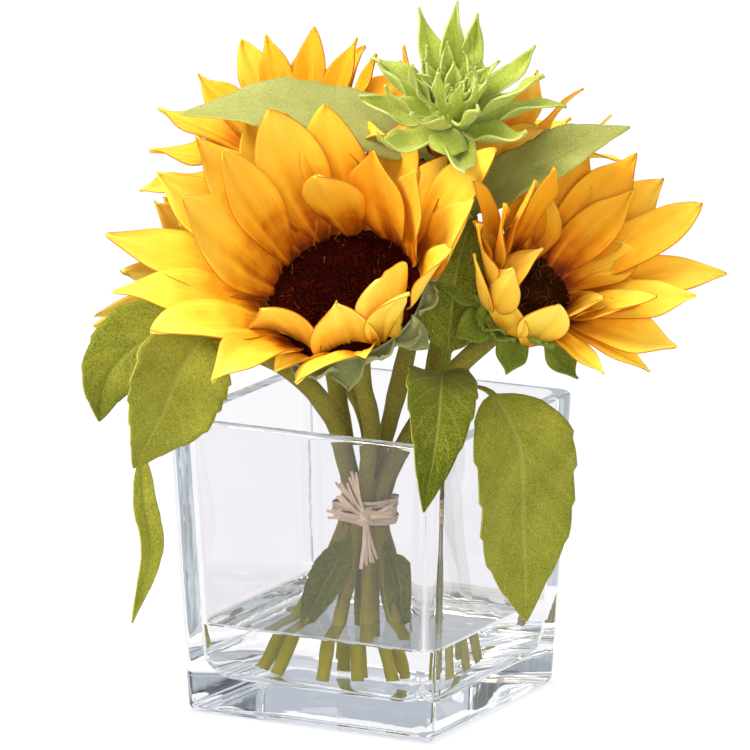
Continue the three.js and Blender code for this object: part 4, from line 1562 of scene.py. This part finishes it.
# ------------------------------------------------------------------------------ bud
@dataclass
class Bud:
    """A closed bud: a knob shut in by three layers of thick wavy bracts, with narrow ones in
    between. A row of layers is how many bracts it has, their lift, curl, length, width, root and
    height, and the first one's azimuth."""

    axes: Axes
    layers: Sequence[Sequence[float]] = (
        (8, 8, 26, 37, 13, 7.6, -4, 0), (8, 36, 14, 35, 10, 7.2, 0, 22),
        (6, 62, 6, 26, 7, 5.4, 3, 5),
    )
    narrow_count: int = 22
    floret_count: int = 64
    posed: Sequence[Petal] = (
        Petal(
            92, 56, 34, 43, 9, 5.4, 2, cup=0.6, ruffle=1.6, crease=0.5, sway=0.06, twist=25,
            outline=bract_outline,
        ),
        Petal(
            262, 34, -50, 21, 15, 8.4, -1, cup=-0.5, ruffle=1.2, crease=0.6, sway=-0.1,
            outline=spoon_outline,
        ),
    )

    def build(self, blank: Blank, solids: dict[str, BVHTree]) -> bpy.types.Object:
        """Builds the bud.

        Args:
            blank: The bracts' common shape.
            solids: The surface of each of the frame's nodes.

        Returns:
            The bud, as one piece.
        """
        made = []
        for k, (count, lift, curl, length, width, root, height, turn) in enumerate(self.layers):
            for i in range(count):
                bract = Petal(
                    azimuth=turn + 360 * i / count + 7 * draw(i, k + 20),
                    lift=lift + 8 * draw(i, k + 23), curl=curl,
                    length=length * (1 + 0.16 * draw(i, k + 26)), width=width, root=root,
                    height=height, cup=0.5, ruffle=2.0, crease=0.8, flick=1.4 * draw(i, k + 60),
                    sway=0.16 * draw(i, k + 63), twist=30 * draw(i, k + 66),
                    outline=bract_outline,
                ).fitted(self.axes, solids["bud_head"], (0.45, 1))
                if bract:
                    made.append(self.lay(blank, bract, 0.3 * draw(i, k + 30)))
                else:
                    log.info("the bud has no room for bract %d of layer %d", i, k)
        for i in range(self.narrow_count):
            bract = Petal(
                azimuth=137.5 * i, lift=70 + 12 * draw(i, 70), curl=20 * draw(i, 71),
                length=21 - 0.4 * i + 5 * draw(i, 72), width=6.4, root=7.6 - 0.2 * i,
                height=2.2 + 0.2 * i, cup=0.6, ruffle=0.9, crease=0.3, flick=1.2 * draw(i, 73),
                twist=40 * draw(i, 74), sway=0.12 * draw(i, 76), outline=bract_outline,
            )
            made.append(self.lay(blank, bract, -0.2 + 0.3 * draw(i, 75)))
        for bract in self.posed:
            made.append(self.lay(blank, bract, 0.0))
        layer = coat(join("bracts", made), BUD_FLOCK, BUD_FLOCK, BUD_EDGE)
        apply_modifier(
            layer, "SOLIDIFY", thickness=BRACT_THICKNESS, offset=0.0, material_offset=1,
            material_offset_rim=2,
        )
        levels = [
            (4, -7), (6.4, -5.4), (8, -4), (9, 0), (8.6, 2.4), (7.5, 4.5), (5.9, 6.3), (4, 7.5),
            (1.5, 8.4),
        ]
        knob = settle(coat(turn_up("knob", levels, 24), BUD_FLOCK), self.axes.matrix())
        whole = settle(join("bud_head", [knob, layer, self.rosette()]), BOUQUET)
        return dress(whole, "bud_head")

    def lay(self, blank: Blank, bract: Petal, tone: float) -> bpy.types.Object:
        """Lays one bract on the bud."""
        return blank.copy("bract", bract.corners(self.axes, blank.edge, blank.along), tone)

    def rosette(self) -> bpy.types.Object:
        """Builds the closed florets that crowd the top of the knob.

        Returns:
            The florets.
        """
        floret = turn_up("floret", [(0.7, 0), (1.05, 1.1), (0.95, 2.2), (0.4, 2.9)], 6, 60)
        made = []
        for i in range(self.floret_count):
            share = math.sqrt((i + 0.5) / self.floret_count)
            radius, angle = 7.2 * share, i * GOLDEN_ANGLE
            x, y = math.cos(angle), math.sin(angle)
            height = 7.4 - 4.2 * share**2 + 0.5 * draw(i, 80)
            place = Matrix.Translation((radius * x, radius * y, height))
            tilt = Matrix.Rotation(0.9 * share, 4, (-y, x, 0))
            made.append(plant(floret, place @ tilt @ Matrix.Scale(1 + 0.2 * draw(i, 81), 4)))
        bpy.data.objects.remove(floret)
        return settle(coat(join("rosette", made), BUD_EDGE), self.axes.matrix())


# ------------------------------------------------------------------------------ raffia tie
@dataclass
class RaffiaTie:
    """Strips of raffia wound round the stems, with a flat knot at the front and loose ends. Each
    is split along its length. A hoop is its width, how far out and up it sits, and its tilt
    towards +Y and +X. An end is where its tip is, and its width. A split is how far it lies off
    the hoop's middle, and its width, as shares of the hoop's."""

    x: float = -1.5
    z: float = 78.0
    inner: float = 12.2
    hoops: Sequence[Sequence[float]] = (
        (3.6, 0.0, 0.0, 1.4, 0.5), (2.8, 0.2, 2.4, -1.6, 1.0), (2.8, 0.1, -2.2, 0.4, -1.6)
    )
    ends: Sequence[Sequence[float]] = (
        (-16, -13, 79.5, 3.2), (-13, -14, 86, 3.4), (-11, -13, 92, 3.0), (-7, -14, 95, 2.6),
        (-1, -15, 58, 4.0), (2.5, -14.5, 60, 2.6), (9, -13, 80, 4.0),
    )
    splits: Sequence[Sequence[float]] = ((-0.36, 0.4), (0.02, 0.46), (0.36, 0.38))
    bends: int = 24
    wraps: int = 7

    def strip(
        self, blank: Blank, path: Sequence[Point], faces: Sequence[Point], width: float
    ) -> bpy.types.Object:
        """Lays one strip.

        Args:
            blank: The strips' common shape.
            path: Points that it runs through.
            faces: The way that it faces at each of them.
            width: How wide it is.

        Returns:
            The strip.
        """
        middle, way = smooth_path(path, blank.along)
        face = np.array(faces, float)
        at = np.linspace(0, 1, len(face))
        face = np.column_stack([np.interp(blank.along, at, face[:, k]) for k in range(3)])
        normal = face - scaled((face * way).sum(1), way)
        normal /= np.linalg.norm(normal, axis=1, keepdims=True)
        side = np.cross(way, normal)
        half = width / 2 * strip_outline(blank.along)
        bow = -0.1 * width * blank.edge**2
        return blank.copy("strip", middle + scaled(half * blank.edge, side) + scaled(bow, normal))

    def build(self) -> bpy.types.Object:
        """Builds the tie.

        Returns:
            The hoops, the loose ends and the knot, as one piece.
        """
        wound = Blank(2, 96, strip_outline)
        loose = Blank(3, 18, strip_outline)
        made = []
        for width, out, height, tilt_y, tilt_x in self.hoops:
            for j, (shift, slim) in enumerate(self.splits):
                points, faces = [], []
                for i in range(self.bends + 1):
                    angle = 2 * math.pi * i / self.bends - math.pi / 2
                    x, y, copy = math.cos(angle), math.sin(angle), i % self.bends
                    radius = self.inner + out + 0.15 + 0.3 * j + 0.2 * draw(copy, width + j)
                    level = self.z + height + shift * width + tilt_y * y + tilt_x * x
                    level += 0.35 * draw(copy, height + j)
                    points.append((self.x + radius * x, radius * y, level))
                    faces.append((x, y, 0.35 * draw(copy, 9 + j)))
                made.append(self.strip(wound, points, faces, width * slim))
        knot = Vector((self.x, -13, self.z - 0.5))
        front = Vector((0, -1, 0))
        for k, (x, y, z, width) in enumerate(self.ends):
            tip = Vector((x, y, z))
            along = tip - knot
            across = along.cross(front).normalized()
            for j in range(3):
                lean = 0.42 * width * (j - 1) + 0.5 * draw(k, j + 2)
                end = tip + across * lean * 1.3 + front * (0.7 * j)
                end += along * (0.09 * draw(k, j + 5))
                bow = knot + along * 0.5 + front * (1.7 + 0.6 * j) + across * (0.35 * lean)
                twist = across * (0.7 * draw(k, j + 8))
                faces = (front, front + twist * 0.5, front + twist)
                path = (knot + front * (0.6 * j), bow, end)
                made.append(self.strip(loose, path, faces, width * 0.42))
        for j in range(self.wraps):
            angle = math.radians(26 * j - 20)
            reach = Vector((math.cos(angle), 0, math.sin(angle))) * (4.6 + 0.8 * draw(j, 31))
            low, high = knot + front * 0.6, knot + front * (2.6 + 0.25 * j)
            faces = ((0, -1, 0.2), (0, -1, 0), (0, -1, -0.2))
            width = 1.7 + 0.5 * draw(j, 33)
            made.append(self.strip(loose, (low - reach, high, low + reach), faces, width))
        layer = coat(join("strips", made), RAFFIA)
        apply_modifier(layer, "SOLIDIFY", thickness=RAFFIA_THICKNESS, offset=0.0)
        levels = [(2.4, -1.8), (3.0, -1.0), (3.4, 0.4), (2.8, 1.2), (1.6, 1.9), (0.6, 2.1)]
        axes = Axes(knot, Vector((1, 0, 0)), Vector((0, 0, 1)), front)
        body = settle(coat(turn_up("knot", levels, 18), RAFFIA), axes.matrix())
        for blank in (wound, loose):
            blank.discard()
        return dress(settle(join("raffia_tie", [layer, body]), BOUQUET), "raffia_tie")


# ------------------------------------------------------------------------------ studio
@dataclass
class Studio:
    """A white table under soft lights, and the camera. The sky is brightest low down and has
    two upright dark cards, on the left and the right, which draw the glass's edges."""

    azimuth: float = 27.69
    elevation: float = 12.54
    target: Point = (1.15, 0.6, 131.4)
    distance: float = 3.0
    lens: float = 364.3

    def build(self) -> None:
        """Sets up the floor, the lights and the camera."""
        start_fresh()
        bpy.ops.mesh.primitive_plane_add(size=12, location=(0, 0, 0))
        floor = coat(bpy.context.active_object, OPAL)
        floor.name = "table"
        world = bpy.data.worlds.new("studio")
        world.use_nodes = True
        tree = world.node_tree
        tree.nodes.clear()
        way = add(tree, "TexCoord").node.outputs["Generated"]
        up = add(tree, "SeparateXYZ", {"Vector": way}).node.outputs["Z"]
        sky = add(
            tree, "ValToRGB", {"Fac": up},
            ((0.0, "ffffff"), (0.04, "f4f6fa"), (0.12, "bcc6d0"), (0.5, "bcc2ca"), (1.0, "ffffff")),
        )
        right = self.turned(1, 0, 0)
        side = add(tree, "VectorMath", {0: way, 1: right}, operation="DOT_PRODUCT")
        side = add(tree, "MapRange", {"Value": side.node.outputs["Value"], "From Min": -1.0})
        cards = add(
            tree, "ValToRGB", {"Fac": side},
            (
                (0.08, "ffffff"), (0.12, "58646a"), (0.18, "687479"), (0.22, "ffffff"),
                (0.78, "ffffff"), (0.82, "687479"), (0.88, "58646a"), (0.92, "ffffff"),
            ),
        )
        sky = add(tree, "VectorMath", {0: sky, 1: cards}, operation="MULTIPLY")
        glow = add(tree, "Background", {"Color": sky, "Strength": 1.0})
        add(tree, "OutputWorld", {"Surface": glow})
        bpy.context.scene.world = world
        self.light("key", (-1.5, -0.85, 1.95), 1.1, 80, "fff8ec")
        self.light("fill", (0.3, -2.0, 0.25), 1.4, 28, "fffaf2")
        bpy.context.scene.view_settings.view_transform = "Standard"
        self.camera()

    def turned(self, x: float, y: float, z: float) -> Vector:
        """Turns a place given as the camera sees it (right, away, up) into the vase's axes."""
        return Matrix.Rotation(math.radians(self.azimuth), 3, "Z") @ Vector((x, y, z))

    def light(self, name: str, place: Point, size: float, power: float, colour: str) -> None:
        """Hangs a soft square light that points at the flowers.

        Args:
            name: The light's name.
            place: Where it hangs, as the camera sees it: right, away and up, in metres.
            size: Its side.
            power: Its watts.
            colour: Its colour.
        """
        lamp = bpy.data.lights.new(name, "AREA")
        lamp.size, lamp.energy, lamp.color = size, power, linear(colour)[:3]
        made = bpy.data.objects.new(name, lamp)
        bpy.context.collection.objects.link(made)
        made.location = self.turned(*place)
        aim = Vector((0, 0, 0.17)) - made.location
        made.rotation_euler = aim.to_track_quat("-Z", "Y").to_euler()

    def camera(self) -> None:
        """Stands the camera."""
        a, e = math.radians(self.azimuth), math.radians(self.elevation)
        back = Vector((math.sin(a) * math.cos(e), -math.cos(a) * math.cos(e), math.sin(e)))
        made = bpy.data.objects.new("camera", bpy.data.cameras.new("camera"))
        made.data.lens, made.data.sensor_width = self.lens, 36.0
        made.data.clip_end = 50.0
        bpy.context.collection.objects.link(made)
        made.location = Vector(self.target) * MM + back * self.distance
        made.rotation_euler = (-back).to_track_quat("-Z", "Y").to_euler()
        bpy.context.scene.camera = made


# ------------------------------------------------------------------------------ the arrangement
# Places along the midribs of the solids' petals, between which they are straight.
FRONT_STATIONS = (0.42, 0.78, 1)
REAR_STATIONS = (0.52, 1)
HEADS = (
    FlowerHead(
        "sunflower_1", (-10.6, -28, 170.5), (-0.25, -0.6, 0.76), 27, FRONT_STATIONS,
        outer=(
            (186, 44, -20, 71, 27), (167, 50, -20, 64, 26), (149, 56, -20, 63, 26),
            (135, 54, -20, 58, 26), (121, 58, -20, 57, 28), (104, 52, -15, 49, 27),
            (84, 56, -15, 50, 26), (64, 48, -15, 48, 26), (42, 42, -15, 57, 27),
            (20, 54, -15, 50, 24), (356, 64, -15, 48, 22), (340, 68, -20, 42, 20),
            (248, 56, -35, 56, 24), (224, 54, -30, 60, 25), (205, 46, -20, 67, 25),
        ),
        inner=(
            (179, 70, -24, 57, 38), (156, 78, -18, 60, 20), (141, 68, -15, 42, 27),
            (66, 70, -12, 46, 26), (38, 76, -10, 48, 25),
        ),
        posed=(
            Petal(
                244, 86, -6, 29, 31, 28.8, -1, sway=0.15, twist=-62, crease=0.9, cup=-0.2,
                outline=dart_outline,
            ),
            Petal(
                291, 88, -6, 31, 27, 28.4, 0.2, sway=-0.1, crease=1.2, cup=-0.35,
                outline=dart_outline,
            ),
            Petal(
                281, 64, -60, 23, 25, 30.8, -0.9, sway=0.55, twist=-20, crease=1.0, cup=-0.3,
                outline=dart_outline,
            ),
            Petal(
                329, 94, 0, 36, 28, 31.3, -4, sway=-0.1, flick=-0.7, crease=0.7, cup=0.1,
                outline=paddle_outline,
            ),
            Petal(
                316, 84, -16, 37, 15, 31, -1.2, sway=-0.42, twist=24, crease=0.9, cup=-0.2
            ),
            Petal(300, 68, -60, 17, 14, 31.2, -0.9, sway=-0.1, crease=0.7, outline=dart_outline),
            Petal(263, 66, -70, 22, 18, 31.2, -0.9, sway=0.25, crease=0.7, outline=dart_outline),
            Petal(
                101, 88, 16, 44, 24, 27.4, 1.2, cup=-0.1, crease=0.7, sway=-0.04,
                outline=spoon_outline,
            ),
            Petal(
                101, 74, -8, 58, 27, 28.6, 0.4, cup=0.2, crease=0.8, ruffle=1, flick=-0.4,
                outline=spoon_outline,
            ),
            Petal(
                125, 74, -8, 63, 28, 28.6, 0.6, cup=0.2, crease=0.8, ruffle=1, twist=6,
                outline=spoon_outline,
            ),
        ),
        florets=2200, dye=-0.38, hairs=60,
    ),
    FlowerHead(
        "sunflower_2", (62, -24, 170), (0.42, -0.6, 0.68), 15, FRONT_STATIONS,
        outer=(
            (52, 38, -12, 50, 22), (36, 42, -15, 58, 22), (22, 32, -15, 64, 22),
            (6, 40, -15, 63, 23), (348, 30, -15, 66, 22), (332, 38, -15, 50, 22),
            (312, 34, -20, 46, 22), (162, 48, -10, 44, 20), (134, 54, -10, 44, 20),
            (106, 42, -10, 46, 22), (78, 48, -10, 48, 22),
        ),
        inner=(
            (28, 60, -10, 46, 20), (4, 64, -15, 50, 20), (340, 60, -15, 44, 19),
            (312, 66, -15, 34, 18), (146, 68, -5, 38, 18), (106, 70, -5, 38, 18),
            (66, 64, -10, 38, 18),
        ),
        posed=(
            Petal(176, 74, 64, 34, 15, 18, -1, sway=0.05, twist=16, crease=0.7, cup=0.3),
            Petal(194, 66, 34, 30, 16, 19.6, -2.4, sway=0.1, twist=-16, crease=0.7, cup=0.5),
            Petal(186, 60, 0, 25, 14, 20.6, -4, sway=0.55, twist=10, crease=0.6, cup=0.3),
            Petal(
                217, 86, 14, 16, 20, 20.8, -5.6, sway=0.3, crease=0.5, cup=-0.2,
                outline=spoon_outline,
            ),
            Petal(
                247, 88, 30, 24, 20, 21.4, -6.6, sway=-0.15, crease=0.5, cup=-0.2,
                outline=spoon_outline,
            ),
            Petal(148, 72, -4, 46, 18, 16, 0, crease=0.8, cup=0.3, ruffle=1),
            Petal(130, 81, -2, 54, 18, 16, 0.2, crease=0.9, cup=0.3, ruffle=1),
            Petal(112, 84, -2, 58, 19, 16, 0.2, crease=0.9, cup=0.3, ruffle=1, twist=12),
            Petal(300, 74, -6, 26, 15, 15, 0.2, crease=0.7),
            Petal(308, 58, 2, 46, 17, 15.4, -0.2, crease=0.9, ruffle=1),
            Petal(
                282, 17, -12, 28, 13, 17, -0.9, sway=-0.1, crease=0.6, ruffle=1,
                outline=bract_outline,
            ),
            Petal(
                303, 20, -14, 40, 12, 17, -0.9, crease=0.6, ruffle=1, outline=bract_outline
            ),
        ),
        dye=0.2, slim=0.94, lap=0.6, hairs=170,
    ),
    FlowerHead(
        "sunflower_3", (-33, 30, 213), (-0.22, -0.2, 0.95), 17, REAR_STATIONS,
        outer=(
            (186, 30, -20, 48, 23), (166, 32, -20, 50, 23), (208, 22, -20, 40, 23),
            (146, 38, -20, 53, 22), (127, 30, -20, 58, 22), (106, 34, -20, 52, 22),
            (84, 24, -20, 48, 22), (60, 32, -20, 46, 22), (36, 20, -20, 44, 22),
            (12, 32, -20, 44, 22), (348, 22, -20, 42, 22), (324, 32, -20, 42, 22),
            (300, 22, -20, 42, 22), (274, 32, -20, 42, 22), (246, 20, -20, 44, 22),
        ),
        inner=(
            (136, 46, -20, 50, 18), (115, 54, -20, 46, 18), (94, 50, -20, 44, 18),
            (62, 56, -20, 40, 18),
        ),
        dye=0.3, slim=0.8,
    ),
    FlowerHead(
        "sunflower_4", (40, 50, 205), (0.18, 0.12, 0.97), 17, REAR_STATIONS,
        outer=(
            (0, 20, -20, 54, 22), (24, 32, -20, 54, 22), (48, 20, -20, 56, 22),
            (72, 30, -20, 54, 22), (96, 20, -20, 54, 22), (120, 30, -20, 50, 22),
            (144, 24, -20, 50, 22), (168, 38, -20, 50, 22), (192, 46, -20, 46, 22),
            (216, 36, -20, 46, 22), (240, 48, -20, 44, 22), (264, 36, -20, 44, 22),
            (288, 44, -20, 46, 22), (312, 30, -20, 50, 22), (336, 38, -20, 52, 22),
        ),
        inner=(
            (10, 56, -15, 46, 20), (52, 70, -10, 46, 20), (100, 62, -15, 42, 18),
            (174, 62, -10, 50, 22), (212, 70, -10, 46, 20),
        ),
        dye=0.3, slim=0.86,
    ),
    FlowerHead(
        "sunflower_5", (-46, 50, 166), (-0.55, 0.52, 0.65), 17, REAR_STATIONS,
        outer=(
            (0, 18, -20, 54, 22), (24, 30, -20, 52, 22), (48, 18, -20, 52, 22),
            (72, 32, -20, 46, 22), (96, 22, -20, 44, 22), (120, 34, -20, 44, 22),
            (144, 20, -20, 52, 22), (168, 30, -20, 56, 22), (192, 16, -20, 60, 22),
            (216, 28, -20, 56, 22), (240, 16, -20, 56, 22), (264, 28, -20, 52, 22),
            (288, 16, -20, 54, 22), (312, 28, -20, 52, 22), (336, 18, -20, 54, 22),
        ),
        inner=(
            (20, 52, -20, 40, 18), (110, 56, -20, 38, 18), (200, 52, -20, 40, 18),
            (290, 52, -20, 40, 18),
        ),
    ),
)
BUD_AXES = Axes.towards((31.7, -6, 238), (0, -0.5, 0.86))


def stems() -> list[Stem]:
    """Gives the seven stems, with their heads and leaves.

    Returns:
        The stems, from the front round to the bud's in the middle.
    """
    carried = {
        head.name: {"head": head.axes, "calyx": head.disc + RING_WIDTH + 0.6, "sepals": head.disc}
        for head in HEADS
    }
    return [
        Stem(
            "sunflower_1_stem", -105, ((0, -15, 112), (-4, -18, 135)), **carried["sunflower_1"],
            shoots=((-142, 1.05), (-76, 0.9)), hang=15,
            leaves=(
                Leaf(
                    ((-4, -9, 71), (-11, -13, 62), (-18, -16, 50), (-23, -17, 40), (-26, -17, 31)),
                    (-0.3, -1, 0.1), 15, stalk=0.12, fold=16, tone=1.2,
                ),
            ),
        ),
        Stem(
            "sunflower_2_stem", -45, ((17, -12, 114), (33, -16, 137)), **carried["sunflower_2"],
            shoots=((-20, 1.0), (-62, 0.66)), cover=GREEN_SEPAL,
            leaves=(
                Leaf(
                    ((22, -14, 122), (27, -32, 139), (27, -62, 139), (25, -85, 124), (20, -89, 97)),
                    (0, -0.3, 1), 28, (0.2, -1, 0.1), stalk=0.2, fold=14, tone=1.75,
                ),
                Leaf(
                    (
                        (26, -15, 127), (36, -19, 131), (48, -36, 131), (58, -46, 114),
                        (60, -42, 78), (61, -31, 39),
                    ),
                    (0.2, -0.3, 1), 54, (0.6, -0.8, 0.1), stalk=0.24, fold=6, tone=-0.2,
                ),
                Leaf(
                    (
                        (28, -15, 131), (30, -26, 150), (32, -27, 172), (36, -24, 190),
                        (41, -22, 200),
                    ),
                    (0, -1, 0.2), 28, (-0.2, -1, 0.3), stalk=0.25, fold=12, tone=0.9,
                ),
                Leaf(
                    ((5, -8, 66), (9, -10, 61), (12, -12, 52), (13, -15, 41), (12, -17, 28)),
                    (0.3, -1, 0), 15, stalk=0.15, fold=12, tone=1.0,
                ),
            ),
        ),
        Stem(
            "sunflower_4_stem", 15, ((20, 10, 114), (29, 20, 150), (34, 32, 180)),
            **carried["sunflower_4"],
        ),
        Stem("sunflower_5_stem", 75, ((-3, 18, 112), (-20, 30, 136)), **carried["sunflower_5"]),
        Stem(
            "sunflower_3_stem", 135, ((-12, 8, 112), (-18, 15, 150), (-21, 22, 178)),
            **carried["sunflower_3"],
        ),
        Stem(
            "leaf_sprig", 195, ((-14, -9, 112), (-27, -17, 133), (-48, -23, 147), (-62, -27, 152)),
            leaves=(
                Leaf(
                    (
                        (-56, -25, 150), (-72, -26, 156), (-90, -25, 150), (-103, -25, 136),
                        (-107, -24, 118),
                    ),
                    (0, -0.3, 1), 34, (0.3, -0.8, 0.3), stalk=0.15, fold=14, tone=0.35,
                ),
                Leaf(
                    (
                        (-56, -27, 151), (-65, -34, 153), (-74, -42, 142), (-81, -45, 125),
                        (-93, -44, 104),
                    ),
                    (0.3, -0.7, 0.6), 42, (0.6, -0.7, 0.1), stalk=0.12, fold=12, tone=-0.3,
                ),
                Leaf(
                    (
                        (-58, -28, 149), (-76, -32, 140), (-88, -38, 118), (-89, -42, 92),
                        (-86, -43, 72), (-94, -42, 41),
                    ),
                    (0, -1, 0.2), 10, (0.4, -1, 0), stalk=0.45, fold=10, tone=-0.3,
                ),
            ),
        ),
        Stem(
            "bud_stem", 0, ((7, 0, 112), (15, 5, 145), (20, 9, 172), (26, 7, 198)),
            head=BUD_AXES, calyx=6.4, calyx_top=-7.3, ring=0, spread=0.15, foliage=PALE_LEAF,
            leaves=(
                Leaf(
                    ((29, 6, 212), (16, 8, 222), (-8, 3, 233), (-38, -1, 239), (-75, -4, 237)),
                    (0, -0.6, 0.9), 38, (0, -0.4, 1), stalk=0.1, fold=8, tone=-0.4,
                ),
                Leaf(
                    (
                        (26, 6, 200), (38, -4, 203), (60, -10, 215), (82, -12, 227),
                        (101, -10, 233),
                    ),
                    (-0.2, -0.5, 1), 34, stalk=0.14, fold=8, tone=0.6,
                ),
            ),
        ),
    ]


def surfaces(nodes: dict[str, bpy.types.Object]) -> dict[str, BVHTree]:
    """Gives each node's surface, to lay pieces against."""
    graph = bpy.context.evaluated_depsgraph_get()
    return {name: BVHTree.FromObject(node, graph) for name, node in nodes.items()}


def plain(box: tuple[Vector, Vector]) -> list[list[float]]:
    """Gives a box's corners as plain lists of numbers."""
    return [list(corner) for corner in box]


def main() -> None:
    """Dresses the frame, piece by piece, and lights it."""
    logging.basicConfig(level=logging.INFO, format="%(message)s")
    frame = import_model()
    solids = surfaces(frame["nodes"])

    vase = Vase()
    vase.build()
    vase.fill()
    spear, spoon = Blank(14, 34, petal_outline), Blank(14, 34, spoon_outline)
    sepal, bract = Blank(8, 20, petal_outline), Blank(8, 24, bract_outline)
    leaf = Blank(18, 54, np.ones_like)
    for stem in stems():
        stem.build(sepal, leaf, solids)
    for head in HEADS:
        large = head.disc > LARGE_DISC
        velvet = DARK_VELVET if large else BROWN_VELVET
        head.petals(spear, spoon, velvet, solids)
        head.velvet(velvet, Slot.DARK_DISC if large else Slot.DISC)
    Bud(BUD_AXES).build(bract, solids)
    for blank in (spear, spoon, sepal, bract, leaf):
        blank.discard()
    RaffiaTie().build()
    Studio().build()


if __name__ == "__main__":
    main()
